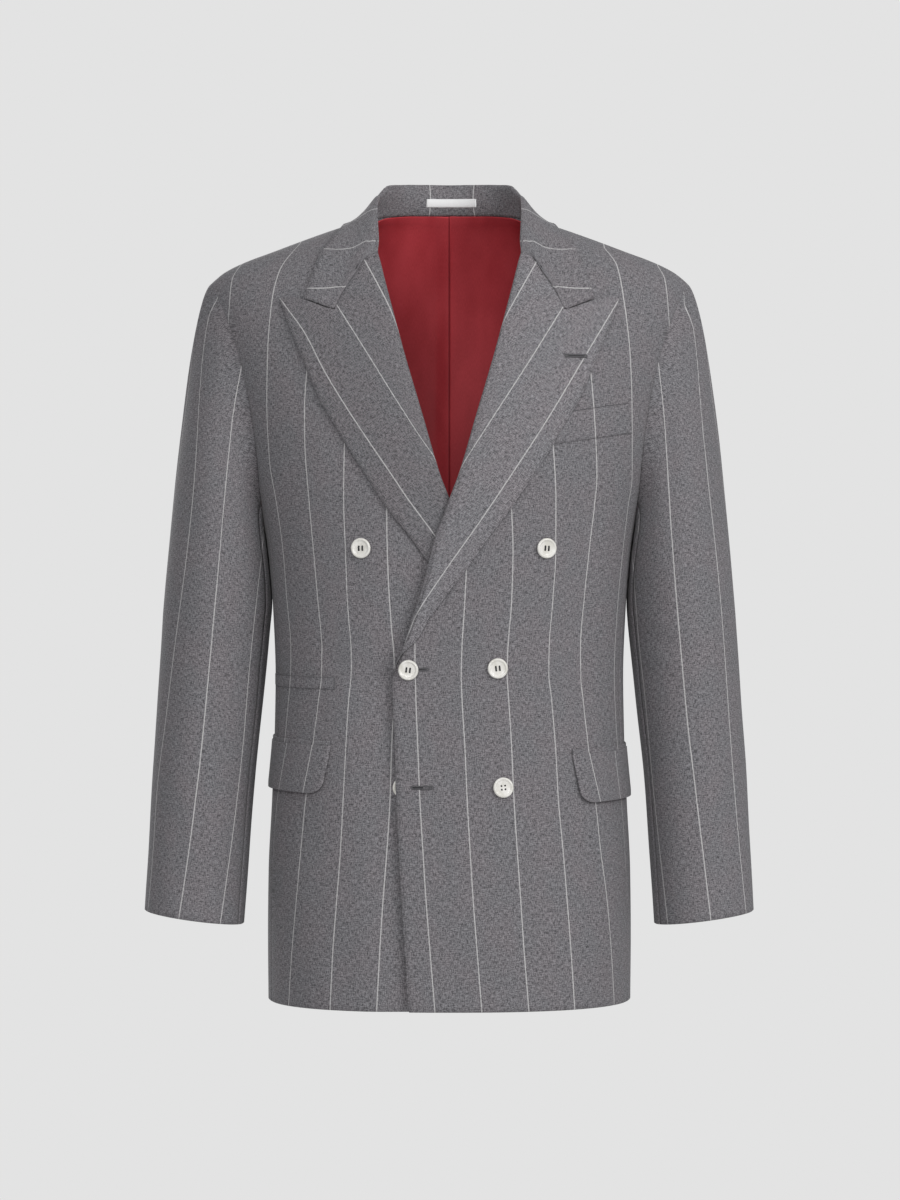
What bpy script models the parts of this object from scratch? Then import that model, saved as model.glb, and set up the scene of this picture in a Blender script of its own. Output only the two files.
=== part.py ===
"""Double-breasted blazer with peak lapels, filled out as when it is worn.

Metres, +Z up.  The front of the garment faces -Y and the wearer's left is +X.
The origin is the middle of the neck opening, at the height where the shoulder
seams meet the collar.  Every cloth piece is a closed wall worked out from the
body sections, the shoulder line, the armhole, the front edge and the sleeve
sections below.
"""
import math

import bpy
import bmesh
from mathutils import Matrix, Vector

# --------------------------------------------------------------------------
# Driving dimensions
# --------------------------------------------------------------------------
CLOTH = 0.0020                  # wall of the body panels, sleeves and flaps
LAPEL_CLOTH = 0.0018            # wall of the lapels
FLAP_CLOTH = 0.0016             # wall of the pocket flaps
COLLAR_CLOTH = 0.0020           # wall of the collar
LINING_CLOTH = 0.0010           # wall of the back lining
WELT_CLOTH = 0.0012             # wall of the pocket welts and jets
SEAM_GAP = 0.00035              # space between two pieces at a seam
WIDE_SEAM_GAP = 0.00052         # the same at the armholes, the collar and the gorges
CHEST_LINE = -0.302             # height where the armholes bottom out
NOTCH_LINE = -0.260             # height where the side seams reach the armholes
SIDE_SEAM_FRONT = math.radians(75)
SIDE_SEAM_BACK = math.radians(105)
FRONT_ROUNDNESS = 2.4           # exponent of the front half of each section
BACK_ROUNDNESS = 2.6            # exponent of the back half of each section
NECK_POINT = 0.0785             # half width of the neck at the shoulder seam
SHOULDER_POINT = 0.2336         # half width over the shoulders at the sleeve
OVERLAP_DEPTH = 0.0070          # how far the under front lies behind the over front
OVERLAP_RAMP = 0.045            # width over which the under front sinks behind
SIDE_TIP = 1e-9                 # depth that tells the front from the back at the sides


class Table:
    """Rows of named columns, read between rows along a smooth curve."""

    def __init__(self, columns, rows):
        self.columns = columns
        self.rows = sorted(rows)
        self.keys = [row[0] for row in self.rows]

    def at(self, key, name):
        column = self.columns.index(name)
        keys = self.keys
        if key <= keys[0]:
            return self.rows[0][column]
        if key >= keys[-1]:
            return self.rows[-1][column]
        low = 0
        while keys[low + 1] < key:
            low += 1
        step = keys[low + 1] - keys[low]
        share = (key - keys[low]) / step
        start = self.rows[low][column]
        end = self.rows[low + 1][column]
        leave = self._slope(low, column) * step
        arrive = self._slope(low + 1, column) * step
        square = share * share
        cube = square * share
        return (start * (2 * cube - 3 * square + 1) + leave * (cube - 2 * square + share)
                + end * (3 * square - 2 * cube) + arrive * (cube - square))

    def _slope(self, index, column):
        def grade(low):
            rise = self.rows[low + 1][column] - self.rows[low][column]
            return rise / (self.keys[low + 1] - self.keys[low])
        last = len(self.rows) - 1
        if index == 0:
            return grade(0)
        if index == last:
            return grade(last - 1)
        before = grade(index - 1)
        after = grade(index)
        if before * after <= 0:
            return 0.0
        return 2 * before * after / (before + after)


# Sections of the body: half width, and depth in front of and behind the middle.
BODY = Table(
    ("height", "half_width", "front", "back"), (
        (-0.764, 0.1769, 0.139, 0.138),
        (-0.700, 0.1774, 0.137, 0.134),
        (-0.640, 0.1768, 0.134, 0.128),
        (-0.572, 0.1735, 0.130, 0.118),
        (-0.510, 0.1710, 0.127, 0.109),
        (-0.450, 0.1700, 0.125, 0.104),
        (-0.389, 0.1722, 0.126, 0.107),
        (-0.336, 0.1765, 0.128, 0.114),
        (-0.302, 0.1815, 0.129, 0.119),
        (-0.260, 0.1905, 0.130, 0.124),
        (-0.190, 0.2045, 0.129, 0.130),
        (-0.134, 0.2185, 0.126, 0.133),
        (-0.067, 0.2375, 0.121, 0.134),
        (0.040, 0.2560, 0.116, 0.134),
    ))

# Top line of the shoulders.  Inside the neck point it is only a guide that
# shapes the cloth below the neck.
SHOULDER = Table(
    ("across", "height"), (
        (-0.045, 0.014),
        (0.000, 0.024),
        (0.045, 0.014),
        (0.0785, -0.003),
        (0.098, -0.0093),
        (0.119, -0.0163),
        (0.147, -0.0263),
        (0.173, -0.0360),
        (0.197, -0.0448),
        (0.2187, -0.0552),
        (0.2336, -0.0670),
        (0.2600, -0.0950),
    ))

# Back neck seam, from the middle to the shoulder seam.
BACK_NECK = Table(
    ("across", "height"), (
        (0.000, 0.0070),
        (0.040, 0.0058),
        (0.060, 0.0030),
        (0.0785, -0.0030),
    ))

# Armhole seam: how far from the middle the front and the back panel reach.
ARMHOLE = Table(
    ("height", "front", "back"), (
        (-0.2600, 0.1851, 0.1846),
        (-0.2250, 0.1880, 0.1880),
        (-0.1900, 0.1932, 0.1935),
        (-0.1340, 0.2062, 0.2060),
        (-0.0880, 0.2237, 0.2237),
        (-0.0670, 0.2336, 0.2336),
    ))

ARMHOLE_CURVE = 2.2             # exponent of its curve under the arm
SIDE_BEND = -0.389              # above this height the side panel's rows curve

# Inner edge of the fronts: neck seam, roll line and front edge of the over
# front, as a distance towards the wearer's left.
FRONT_EDGE = Table(
    ("height", "across"), (
        (-0.7640, -0.0381),
        (-0.6028, -0.0479),
        (-0.5641, -0.0497),
        (-0.5226, -0.0510),
        (-0.4980, -0.0522),
        (-0.4702, -0.0536),
        (-0.4456, -0.0530),
        (-0.4250, -0.0448),
        (-0.3940, -0.0353),
        (-0.3660, -0.0261),
        (-0.3370, -0.0188),
        (-0.3150, -0.0130),
        (-0.2970, -0.0058),
        (-0.2780, 0.0008),
        (-0.2570, 0.0088),
        (-0.1990, 0.0258),
        (-0.1420, 0.0425),
        (-0.1110, 0.0508),
        (-0.0770, 0.0597),
        (-0.0440, 0.0682),
        (-0.0300, 0.0735),
        (-0.0120, 0.0775),
        (-0.0030, 0.0785),
    ))

# Sleeve sections below the armpit: centre, half width and half depth.
SLEEVE = Table(
    ("height", "across", "forward", "half_width", "half_depth"), (
        (-0.6829, 0.2475, -0.030, 0.0482, 0.0490),
        (-0.6210, 0.2440, -0.019, 0.0488, 0.0540),
        (-0.5430, 0.2396, -0.008, 0.0500, 0.0605),
        (-0.4740, 0.2340, -0.001, 0.0516, 0.0660),
        (-0.3890, 0.2274, 0.003, 0.0532, 0.0705),
    ))
CUFF_SLANT = 0.136              # rise of the cuff for each metre outwards
SLEEVE_TILT = Vector((-0.085, 0.0, 1.0))
SLEEVE_CLEARANCE = 0.0012       # between the sleeve and the side of the body
SLEEVE_LEAVE = 0.40             # longest reach, as a share of the head's length
SLEEVE_ARRIVE_OVER = 0.62       # how straight the head comes into the sleeve
SLEEVE_ARRIVE_UNDER = 0.42      # the same below the arm

# How the sleeve leaves the armhole: turn away from the body cloth in degrees,
# and how far it runs in that direction, from the shoulder to the armpit.
SLEEVE_HEAD = Table(
    ("down", "turn", "reach"), (
        (0.00, 8.0, 0.018),
        (0.15, 26.0, 0.024),
        (0.35, 48.0, 0.030),
        (0.60, 72.0, 0.032),
        (0.80, 108.0, 0.028),
        (0.93, 150.0, 0.022),
        (1.00, 180.0, 0.018),
    ))

# Edges of the lapel, as distance from the middle and height, from the roll
# line along the gorge seam to the notch and on to the peak, then down.
LAPEL_TOP = (
    (0.0682, -0.0440),
    (0.0762, -0.0492),
    (0.0830, -0.0560),
    (0.0888, -0.0664),
    (0.0956, -0.0768),
    (0.1014, -0.0864),
    (0.1085, -0.1012),
    (0.1230, -0.0953),
    (0.1375, -0.0895),
    (0.1500, -0.0862),
    (0.1618, -0.0874),
)
LAPEL_OUTER = Table(
    ("height", "across"), (
        (-0.4440, -0.0514),
        (-0.4330, -0.0490),
        (-0.4224, -0.0400),
        (-0.4150, -0.0318),
        (-0.3930, -0.0188),
        (-0.3716, -0.0030),
        (-0.3470, 0.0158),
        (-0.3140, 0.0388),
        (-0.2890, 0.0584),
        (-0.2567, 0.0793),
        (-0.2350, 0.0936),
        (-0.2165, 0.1044),
        (-0.1860, 0.1222),
        (-0.1440, 0.1400),
        (-0.1070, 0.1555),
        (-0.0874, 0.1618),
    ))

# Height of the lapel's outer face over the front, from the roll line outwards.
LAPEL_LIFT = Table(
    ("share", "lift"), (
        (0.00, 0.0026),
        (0.08, 0.0048),
        (0.22, 0.0060),
        (0.55, 0.0050),
        (1.00, 0.0040),
    ))
LAPEL_FLAT_LIFT = 0.0034        # where the over front lies on the lapel
LAPEL_ROW_POWER = 0.92          # how the rows spread down the outer edge
LAPEL_TOP_FADE = 1.25           # how soon the rows lose the shape of the top edge
LAPEL_FOOT_RISE = 0.001         # the roll line ends this much under the outer edge

# Collar: height of the stand, how far it leans to the neck, and where the
# outer edge of the fall lies, from the middle of the back to the gorge.
COLLAR = Table(
    ("station", "stand", "lean", "edge_across", "edge_height", "turn"), (
        (0, 0.0310, 0.0030, 0.0000, -0.0070, 12.0),
        (1, 0.0312, 0.0035, 0.0240, -0.0072, 14.0),
        (2, 0.0305, 0.0055, 0.0490, -0.0078, 22.0),
        (3, 0.0288, 0.0080, 0.0700, -0.0088, 35.0),
        (4, 0.0252, 0.0090, 0.0885, -0.0100, 55.0),
        (5, 0.0200, 0.0088, 0.0990, -0.0096, 75.0),
        (6, 0.0140, 0.0088, 0.1045, -0.0160, 85.0),
        (7, 0.0100, 0.0088, 0.1120, -0.0285, 95.0),
        (8, 0.0065, 0.0060, 0.1245, -0.0465, 100.0),
        (9, 0.0040, 0.0010, 0.1378, -0.0884, 80.0),
    ))
BACK_NECK_COLUMNS = (0.0, 0.020, 0.040, 0.055, 0.068, NECK_POINT)
COLLAR_SHOULDER_STATION = 5
COLLAR_LAST_STATION = 9
COLLAR_LIFT = 0.0046            # outer face of the fall over the body cloth
COLLAR_GORGE_PULL = {7: 0.15, 8: 0.45}  # how far a section follows the gorge
STAND_LEAVE = 0.35              # handles of the stand, as shares of its height
STAND_FOLD_IN = 0.10
STAND_FOLD_DOWN = 0.30
FALL_POWER = 1.3                # how the fall's points crowd to the fold
FALL_BULGE = 0.12               # how full the fall is, as a share of its width
FALL_ARRIVE = 0.45
FOLD_HEIGHT = 0.0010            # of the fold's top over the stand
NECK_AXIS = Vector((0.0, 0.010, 0.30))

# Pockets: side of the body, top line at its inner end and at the side of the
# body, inner end, and height of the piece.
POCKET_COLUMNS = ("side", "inner", "top_inner", "top_side", "height")
LEFT_FLAP = dict(zip(POCKET_COLUMNS, (1, 0.1165, -0.5229, -0.5195, 0.0465)))
RIGHT_FLAP = dict(zip(POCKET_COLUMNS, (-1, 0.1122, -0.5150, -0.5120, 0.0455)))
TICKET_WELT = dict(zip(POCKET_COLUMNS, (-1, 0.1085, -0.4500, -0.4475, 0.0110)))
FLAP_REAR = math.radians(101)
TICKET_REAR = math.radians(80)
FLAP_SLANT = 0.0085             # the inner end moves outwards by this much
FLAP_CORNER = 0.0110            # radius of the lower inner corner
FLAP_FLARE = 0.0028             # its lower edge stands off by this much more
FLAP_SHARES = (0.0, 0.4, 0.76, 0.88, 0.96, 1.0)
EDGE_SHARES = (0.0, 1.0)
JET_HEIGHT = 0.0042
PATCH_LIFT = 0.0005             # between a pocket piece and the cloth under it

# Breast welt: inner and outer end, as distance from the middle and height of
# the lower edge, then the height of the welt.
BREAST_INNER = (0.0930, -0.2300)
BREAST_OUTER = (0.1750, -0.2165)
BREAST_HEIGHT = 0.0285
BREAST_LEAN = 0.0045            # its upper edge lies this much further in

# Buttons: distance to the wearer's left, height, and which front carries them.
BUTTON_RADIUS = 0.0097
BUTTONS = (
    ("button_right_top", -0.0833, -0.3272, "under"),
    ("button_left_top", 0.0917, -0.3272, "over"),
    ("button_right_middle", -0.0387, -0.4426, "over"),
    ("button_left_middle", 0.0455, -0.4410, "over"),
    ("button_right_bottom", -0.0447, -0.5536, "under"),
    ("button_left_bottom", 0.0507, -0.5536, "over"),
)
BUTTON_PROFILE = (              # radius and height over the back, in metres
    (0.0000, 0.0000),
    (0.0078, 0.0000),
    (0.0097, 0.0017),
    (0.0088, 0.0032),
    (0.0074, 0.0027),
    (0.0000, 0.0023),
)
BUTTON_SIDES = 16
BUTTON_HOLE_RADIUS = 0.0009
BUTTON_HOLE_SPREAD = 0.0019
BUTTON_STANDOFF = 0.0005        # space for the thread under the button
BUTTON_PIN_LENGTH = 0.008       # of the pins that cut the holes
BUTTON_PIN_MIDDLE = 0.0015
BUTTON_PIN_SIDES = 6

LINING_SINK = 0.0042            # of the lining's outer face under the back
LINING_TOP_SINK = 0.0032        # the same at the neck seam
LINING_PLEAT = 0.0035           # depth of the pleat at the middle of the back
LINING_PLEAT_TOP = 0.4          # share of that depth at the neck seam
LINING_PLEAT_WIDTH = 0.016
LINING_MIDDLE = 0.0014          # share of the reach on each side of the pleat's edge
LINING_RIDGE_DEPTH = 0.004      # how far behind the shoulder seam its top row stays
LINING_NECK_BLEND = 0.02
LABEL_WIDTH = 0.052
LABEL_BOTTOM_SHARE = 0.30       # of the stand's height
LABEL_TOP_SHARE = 0.54
LABEL_CLOTH = 0.0006
LABEL_STANDOFF = 0.0004

# How finely the walls are divided.
LOW_LEVELS = (-0.764, -0.700, -0.640, -0.572, -0.510, -0.450, -0.420, -0.389,
              -0.350, -0.310, -0.260)
HIGH_ROWS = 9
FRONT_COLUMNS = 11
BACK_SIDE_COLUMNS = 6
SIDE_COLUMNS = 6
HEAD_SHARES = (0.0, 0.10, 0.24, 0.42, 0.62, 0.82, 1.0)
SLEEVE_LEVELS = (-0.430, -0.474, -0.515, -0.555, -0.600, -0.645, -0.6829)
LAPEL_ROWS = 14
POCKET_STEPS = 13
BREAST_STEPS = 6
STAND_STEPS = 4
FALL_STEPS = 8
LINING_LOW_LEVELS = (-0.744, -0.640, -0.540, -0.450, -0.389, -0.310, -0.260)
LINING_HIGH_ROWS = (2, 4, 6, 8, 9)
LINING_COLUMNS = (0.020, 0.040, 0.055, 0.068, NECK_POINT, 0.096, 0.120, 0.155, 0.195,
                  SHOULDER_POINT)
LINING_REACH = 0.96             # share of the back's width that it covers
SMOOTH_BELOW = math.radians(45)  # edges turned more than this stay sharp

WOOL = (0.178, 0.175, 0.184)
LINING = (0.225, 0.022, 0.030)
PEARL = (0.80, 0.78, 0.74)
LABEL_WHITE = (0.72, 0.72, 0.72)


# --------------------------------------------------------------------------
# Shape of the body
# --------------------------------------------------------------------------
def smooth_step(value):
    share = min(1.0, max(0.0, value))
    return share * share * (3 - 2 * share)


def roundness(y):
    return FRONT_ROUNDNESS if y < 0 else BACK_ROUNDNESS


def rise(x, z):
    """Share of the way from the chest line to the shoulder line."""
    ridge = SHOULDER.at(abs(x), "height")
    return min(1.0, max(0.0, (z - CHEST_LINE) / (ridge - CHEST_LINE)))


def body_field(x, y, z):
    """Zero on the outer face of the body cloth and positive outside it."""
    power = roundness(y)
    depth = BODY.at(z, "front" if y < 0 else "back")
    width = BODY.at(z, "half_width")
    ridge = SHOULDER.at(abs(x), "height")
    height = max(0.0, (z - CHEST_LINE) / (ridge - CHEST_LINE))
    across = (abs(x) / width) ** power
    return (abs(y) / depth) ** power - (1 - across) * (1 - height ** power)


def body_normal(point):
    step = 2e-5
    x, y, z = point
    gradient = Vector((
        body_field(x + step, y, z) - body_field(x - step, y, z),
        body_field(x, y + step, z) - body_field(x, y - step, z),
        body_field(x, y, z + step) - body_field(x, y, z - step),
    ))
    return gradient.normalized()


def body_point(x, z, back=False):
    """The outer face of the body cloth at a distance across and a height."""
    power = BACK_ROUNDNESS if back else FRONT_ROUNDNESS
    depth = BODY.at(z, "back" if back else "front")
    width = BODY.at(z, "half_width")
    across = min(1.0, (abs(x) / width) ** power)
    inside = (1 - across) * (1 - rise(x, z) ** power)
    y = depth * max(0.0, inside) ** (1 / power)
    return Vector((x, y if back else -y, z))


def angle_of(x, z):
    """Angle round the body of a point of its front half, from the middle."""
    width = BODY.at(z, "half_width")
    share = min(1.0, abs(x) / width) ** (FRONT_ROUNDNESS / 2)
    return math.copysign(math.asin(share), x)


def across_at(angle, z):
    """Distance across of an angle round the body, up to a half turn."""
    power = BACK_ROUNDNESS if angle > math.pi / 2 else FRONT_ROUNDNESS
    sine = math.sin(angle)
    return math.copysign(abs(sine) ** (2 / power), sine) * BODY.at(z, "half_width")


def point_at(angle, z):
    """The body cloth at an angle from the middle of the front and a height."""
    x = across_at(angle, z)
    if abs(abs(angle) - math.pi / 2) < 0.02:
        return Vector((x, math.copysign(SIDE_TIP, abs(angle) - math.pi / 2), z))
    return body_point(x, z, back=abs(angle) > math.pi / 2)


def bisect(low, high, test):
    """The value between low and high where test turns positive."""
    for _ in range(40):
        middle = (low + high) / 2
        if test(middle) > 0:
            high = middle
        else:
            low = middle
    return (low + high) / 2


# --------------------------------------------------------------------------
# Rows of the front and back panels above the notch line
# --------------------------------------------------------------------------
def row_height(x, row, back):
    """Height of a row: level at the notch line, on the shoulder line on top."""
    power = BACK_ROUNDNESS if back else FRONT_ROUNDNESS
    ridge = SHOULDER.at(abs(x), "height")
    span = ridge - CHEST_LINE
    top = 1.0
    if back and abs(x) < NECK_POINT:
        top = (BACK_NECK.at(abs(x), "height") - CHEST_LINE) / span
    start = math.asin(((NOTCH_LINE - CHEST_LINE) / span) ** (power / 2))
    end = math.asin(min(1.0, top) ** (power / 2))
    turn = start + (end - start) * row / HIGH_ROWS
    return CHEST_LINE + math.sin(turn) ** (2 / power) * span


def row_across(angle, row, back):
    """Distance across of an angle on a row, found by repeating."""
    sine = math.copysign(abs(math.sin(angle)) ** (2 / FRONT_ROUNDNESS), angle)
    x = sine * BODY.at(NOTCH_LINE, "half_width")
    for _ in range(12):
        x = sine * BODY.at(row_height(x, row, back), "half_width")
    return x


def armhole_angle(row, back):
    name = "back" if back else "front"

    def past_seam(angle):
        x = row_across(angle, row, back)
        return x - ARMHOLE.at(row_height(x, row, back), name)
    return bisect(math.radians(45), math.radians(90), past_seam)


def edge_angle(row):
    def past_edge(angle):
        x = row_across(angle, row, False)
        return x - FRONT_EDGE.at(row_height(x, row, False), "across")
    return bisect(math.radians(-50), math.radians(60), past_edge)


def seam_angle(z, angle, side):
    """The angle of a side seam, half a seam gap to one side of it."""
    ahead = point_at(angle + 0.004, z)
    behind = point_at(angle - 0.004, z)
    return angle + side * SEAM_GAP / 2 * 0.008 / (ahead - behind).length


def front_grid():
    """Rows of points of the over front, from the hem to the shoulder."""
    rows = []
    for z in LOW_LEVELS:
        start = angle_of(FRONT_EDGE.at(z, "across"), z)
        end = seam_angle(z, SIDE_SEAM_FRONT, -1)
        angles = [start + (end - start) * c / FRONT_COLUMNS for c in range(FRONT_COLUMNS + 1)]
        rows.append([point_at(angle, z) for angle in angles])
    for row in range(1, HIGH_ROWS + 1):
        start = edge_angle(row)
        end = armhole_angle(row, False)
        points = []
        for c in range(FRONT_COLUMNS + 1):
            x = row_across(start + (end - start) * c / FRONT_COLUMNS, row, False)
            points.append(body_point(x, row_height(x, row, False)))
        if row == HIGH_ROWS:
            for point in points:
                point.y = -SEAM_GAP / 2
        rows.append(points)
    return rows


def back_columns(reach):
    """Distances across of the back's columns, for a row that reaches so far."""
    columns = [x / SHOULDER_POINT for x in BACK_NECK_COLUMNS]
    last = columns[-1]
    for c in range(1, BACK_SIDE_COLUMNS + 1):
        share = math.sin(math.pi / 2 * c / BACK_SIDE_COLUMNS)
        columns.append(last + (1 - last) * (0.5 * share + 0.5 * c / BACK_SIDE_COLUMNS))
    return [max(SEAM_GAP / 2, share * reach) for share in columns]


def back_grid():
    """Rows of points of one back panel, from the hem to neck and shoulder."""
    rows = []
    for z in LOW_LEVELS:
        seam = seam_angle(z, SIDE_SEAM_BACK, 1)
        reach = across_at(seam, z)
        points = [body_point(x, z, back=True) for x in back_columns(reach)]
        rows.append(points)
    for row in range(1, HIGH_ROWS + 1):
        angle = armhole_angle(row, True)
        reach = row_across(angle, row, True)
        points = []
        for x in back_columns(reach):
            points.append(body_point(x, row_height(x, row, True), back=True))
        if row == HIGH_ROWS:
            for point in points:
                if point.x > NECK_POINT - SEAM_GAP:
                    point.y = SEAM_GAP / 2
        rows.append(points)
    return rows


def armhole_low(angle):
    """Height of the armhole's bottom between the two side seams."""
    middle = (SIDE_SEAM_FRONT + SIDE_SEAM_BACK) / 2
    half = (SIDE_SEAM_BACK - SIDE_SEAM_FRONT) / 2
    share = min(1.0, abs(angle - middle) / half)
    return CHEST_LINE + (NOTCH_LINE - CHEST_LINE) * share ** ARMHOLE_CURVE


def side_height(angle, level):
    """Height of a level on the side panel, whose top follows the armhole."""
    if level <= SIDE_BEND:
        return level
    part = (level - SIDE_BEND) / (NOTCH_LINE - SIDE_BEND)
    return SIDE_BEND + part * (armhole_low(angle) - SIDE_BEND)


def side_grid():
    rows = []
    for level in LOW_LEVELS:
        start = seam_angle(level, SIDE_SEAM_FRONT, 1)
        end = seam_angle(level, SIDE_SEAM_BACK, -1)
        points = []
        for c in range(SIDE_COLUMNS + 1):
            angle = start + (end - start) * c / SIDE_COLUMNS
            points.append(point_at(angle, side_height(angle, level)))
        rows.append(points)
    return rows


def recess(x, z):
    """How far the under front lies behind the over front at a point."""
    distance = x - FRONT_EDGE.at(z, "across")
    return OVERLAP_DEPTH * smooth_step((distance + OVERLAP_RAMP) / OVERLAP_RAMP)


def sunk(point):
    """A point of the under front, moved behind the over front."""
    return point - body_normal(point) * recess(point.x, point.z)


def front_face(side, x, z, lift):
    """A point over the front of one side, x counted towards that side."""
    point = body_point(side * x, z)
    normal = body_normal(point)
    if side < 0:
        lift -= recess(point.x, z)
    return point + normal * lift


# --------------------------------------------------------------------------
# Building walls
# --------------------------------------------------------------------------
def material(name, colour, roughness_value):
    made = bpy.data.materials.new(name)
    made.use_nodes = True
    shader = made.node_tree.nodes["Principled BSDF"]
    shader.inputs["Base Color"].default_value = (*colour, 1.0)
    shader.inputs["Roughness"].default_value = roughness_value
    shader.inputs["Metallic"].default_value = 0.0
    made.diffuse_color = (*colour, 1.0)
    return made


def add_object(name, mesh, look):
    mesh.materials.append(look)
    mesh.shade_smooth()
    mesh.set_sharp_from_angle(angle=SMOOTH_BELOW)
    made = bpy.data.objects.new(name, mesh)
    bpy.context.scene.collection.objects.link(made)
    return made


def boundary(rows, columns):
    """Indices of a grid's border, once round."""
    bottom = [(0, c) for c in range(columns)]
    right = [(r, columns - 1) for r in range(1, rows)]
    top = [(rows - 1, c) for c in range(columns - 2, -1, -1)]
    left = [(r, 0) for r in range(rows - 2, 0, -1)]
    return bottom + right + top + left


def wall(name, face, backing, look):
    """A closed wall between a grid of face points and one of backing points."""
    rows = len(face)
    columns = len(face[0])
    bm = bmesh.new()
    front = [[bm.verts.new(point) for point in row] for row in face]
    behind = [[bm.verts.new(point) for point in row] for row in backing]
    for r in range(rows - 1):
        for c in range(columns - 1):
            bm.faces.new((front[r][c], front[r][c + 1], front[r + 1][c + 1], front[r + 1][c]))
            bm.faces.new((behind[r][c], behind[r + 1][c], behind[r + 1][c + 1], behind[r][c + 1]))
    border = boundary(rows, columns)
    for here, there in zip(border, border[1:] + border[:1]):
        bm.faces.new((front[here[0]][here[1]], behind[here[0]][here[1]],
                      behind[there[0]][there[1]], front[there[0]][there[1]]))
    bmesh.ops.recalc_face_normals(bm, faces=bm.faces)
    mesh = bpy.data.meshes.new(name)
    bm.to_mesh(mesh)
    bm.free()
    return add_object(name, mesh, look)


def mirrored(grid):
    return [[Vector((-p.x, p.y, p.z)) for p in row] for row in grid]


def body_backing(grid, thickness=CLOTH):
    return [[p - body_normal(p) * thickness for p in row] for row in grid]


def grid_normals(grid, outward):
    """Normals of a grid from its neighbours, on the side that outward gives."""
    rows = len(grid)
    columns = len(grid[0])
    normals = []
    for r in range(rows):
        line = []
        for c in range(columns):
            up = grid[min(r + 1, rows - 1)][c] - grid[max(r - 1, 0)][c]
            along = grid[r][min(c + 1, columns - 1)] - grid[r][max(c - 1, 0)]
            normal = up.cross(along).normalized()
            if normal.dot(outward(grid[r][c], r, c)) < 0:
                normal.negate()
            line.append(normal)
        normals.append(line)
    return normals


def seam_start(point, normal, away, turn, thickness, gap):
    """Two faces of a wall that leaves a seam, turned up from the body cloth."""
    half = turn / 2
    face = point + (away * math.cos(half) + normal * math.sin(half)) * gap
    backing = face + (away * math.sin(turn) - normal * math.cos(turn)) * thickness
    return face, backing


def bezier(start, leave, arrive, end, share):
    rest = 1 - share
    return (start * rest ** 3 + leave * (3 * rest * rest * share)
            + arrive * (3 * rest * share * share) + end * share ** 3)


# --------------------------------------------------------------------------
# Body panels
# --------------------------------------------------------------------------
def build_body(wool):
    front = front_grid()
    wall("front_left", front, body_backing(front), wool)
    under = [[sunk(p) for p in row] for row in mirrored(front)]
    under_back = []
    for row in mirrored(front):
        under_back.append([p - body_normal(p) * (CLOTH + recess(p.x, p.z)) for p in row])
    wall("front_right", under, under_back, wool)
    side = side_grid()
    wall("side_left", side, body_backing(side), wool)
    wall("side_right", mirrored(side), mirrored(body_backing(side)), wool)
    back = back_grid()
    wall("back_left", back, body_backing(back), wool)
    wall("back_right", mirrored(back), mirrored(body_backing(back)), wool)


# --------------------------------------------------------------------------
# Sleeves
# --------------------------------------------------------------------------
def armhole_ring():
    """Points of the armhole seam from the shoulder over the front and back."""
    ring = []
    for row in range(HIGH_ROWS, 0, -1):
        x = row_across(armhole_angle(row, False), row, False)
        point = body_point(x, row_height(x, row, False))
        if row == HIGH_ROWS:
            point.y = 0.0
        ring.append(point)
    for c in range(SIDE_COLUMNS + 1):
        angle = SIDE_SEAM_FRONT + (SIDE_SEAM_BACK - SIDE_SEAM_FRONT) * c / SIDE_COLUMNS
        ring.append(point_at(angle, armhole_low(angle)))
    for row in range(1, HIGH_ROWS):
        x = row_across(armhole_angle(row, True), row, True)
        ring.append(body_point(x, row_height(x, row, True), back=True))
    return ring


def ring_turns(ring):
    """Angle round the sleeve of each armhole point: 0 outside, 90 in front."""
    under = HIGH_ROWS + SIDE_COLUMNS // 2
    count = len(ring)
    lengths = [0.0]
    for i in range(count):
        lengths.append(lengths[-1] + (ring[(i + 1) % count] - ring[i]).length)
    half = lengths[under]
    turns = []
    for i in range(count):
        if i <= under:
            turns.append(math.pi * lengths[i] / half)
        else:
            turns.append(math.pi + math.pi * (lengths[i] - half) / (lengths[count] - half))
    return turns


def sleeve_section(turn, level):
    """A point of the sleeve at an angle round it and a height of its middle."""
    width = SLEEVE.at(level, "half_width")
    depth = SLEEVE.at(level, "half_depth")
    low = SLEEVE.keys[0]
    slant = CUFF_SLANT * smooth_step((SLEEVE.keys[3] - level) / (SLEEVE.keys[3] - low))
    reach = width * math.cos(turn)
    point = Vector((SLEEVE.at(level, "across") + reach,
                    SLEEVE.at(level, "forward") - depth * math.sin(turn),
                    level + slant * reach))
    return point


def clear_of_body(point):
    """A sleeve point below the armpit, moved off the side of the body."""
    if point.z > CHEST_LINE:
        return point
    depth = BODY.at(point.z, "front" if point.y < 0 else "back")
    power = roundness(point.y)
    share = min(1.0, abs(point.y) / depth) ** power
    side = BODY.at(point.z, "half_width") * (1 - share) ** (1 / power)
    return Vector((max(point.x, side + SLEEVE_CLEARANCE), point.y, point.z))


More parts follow.
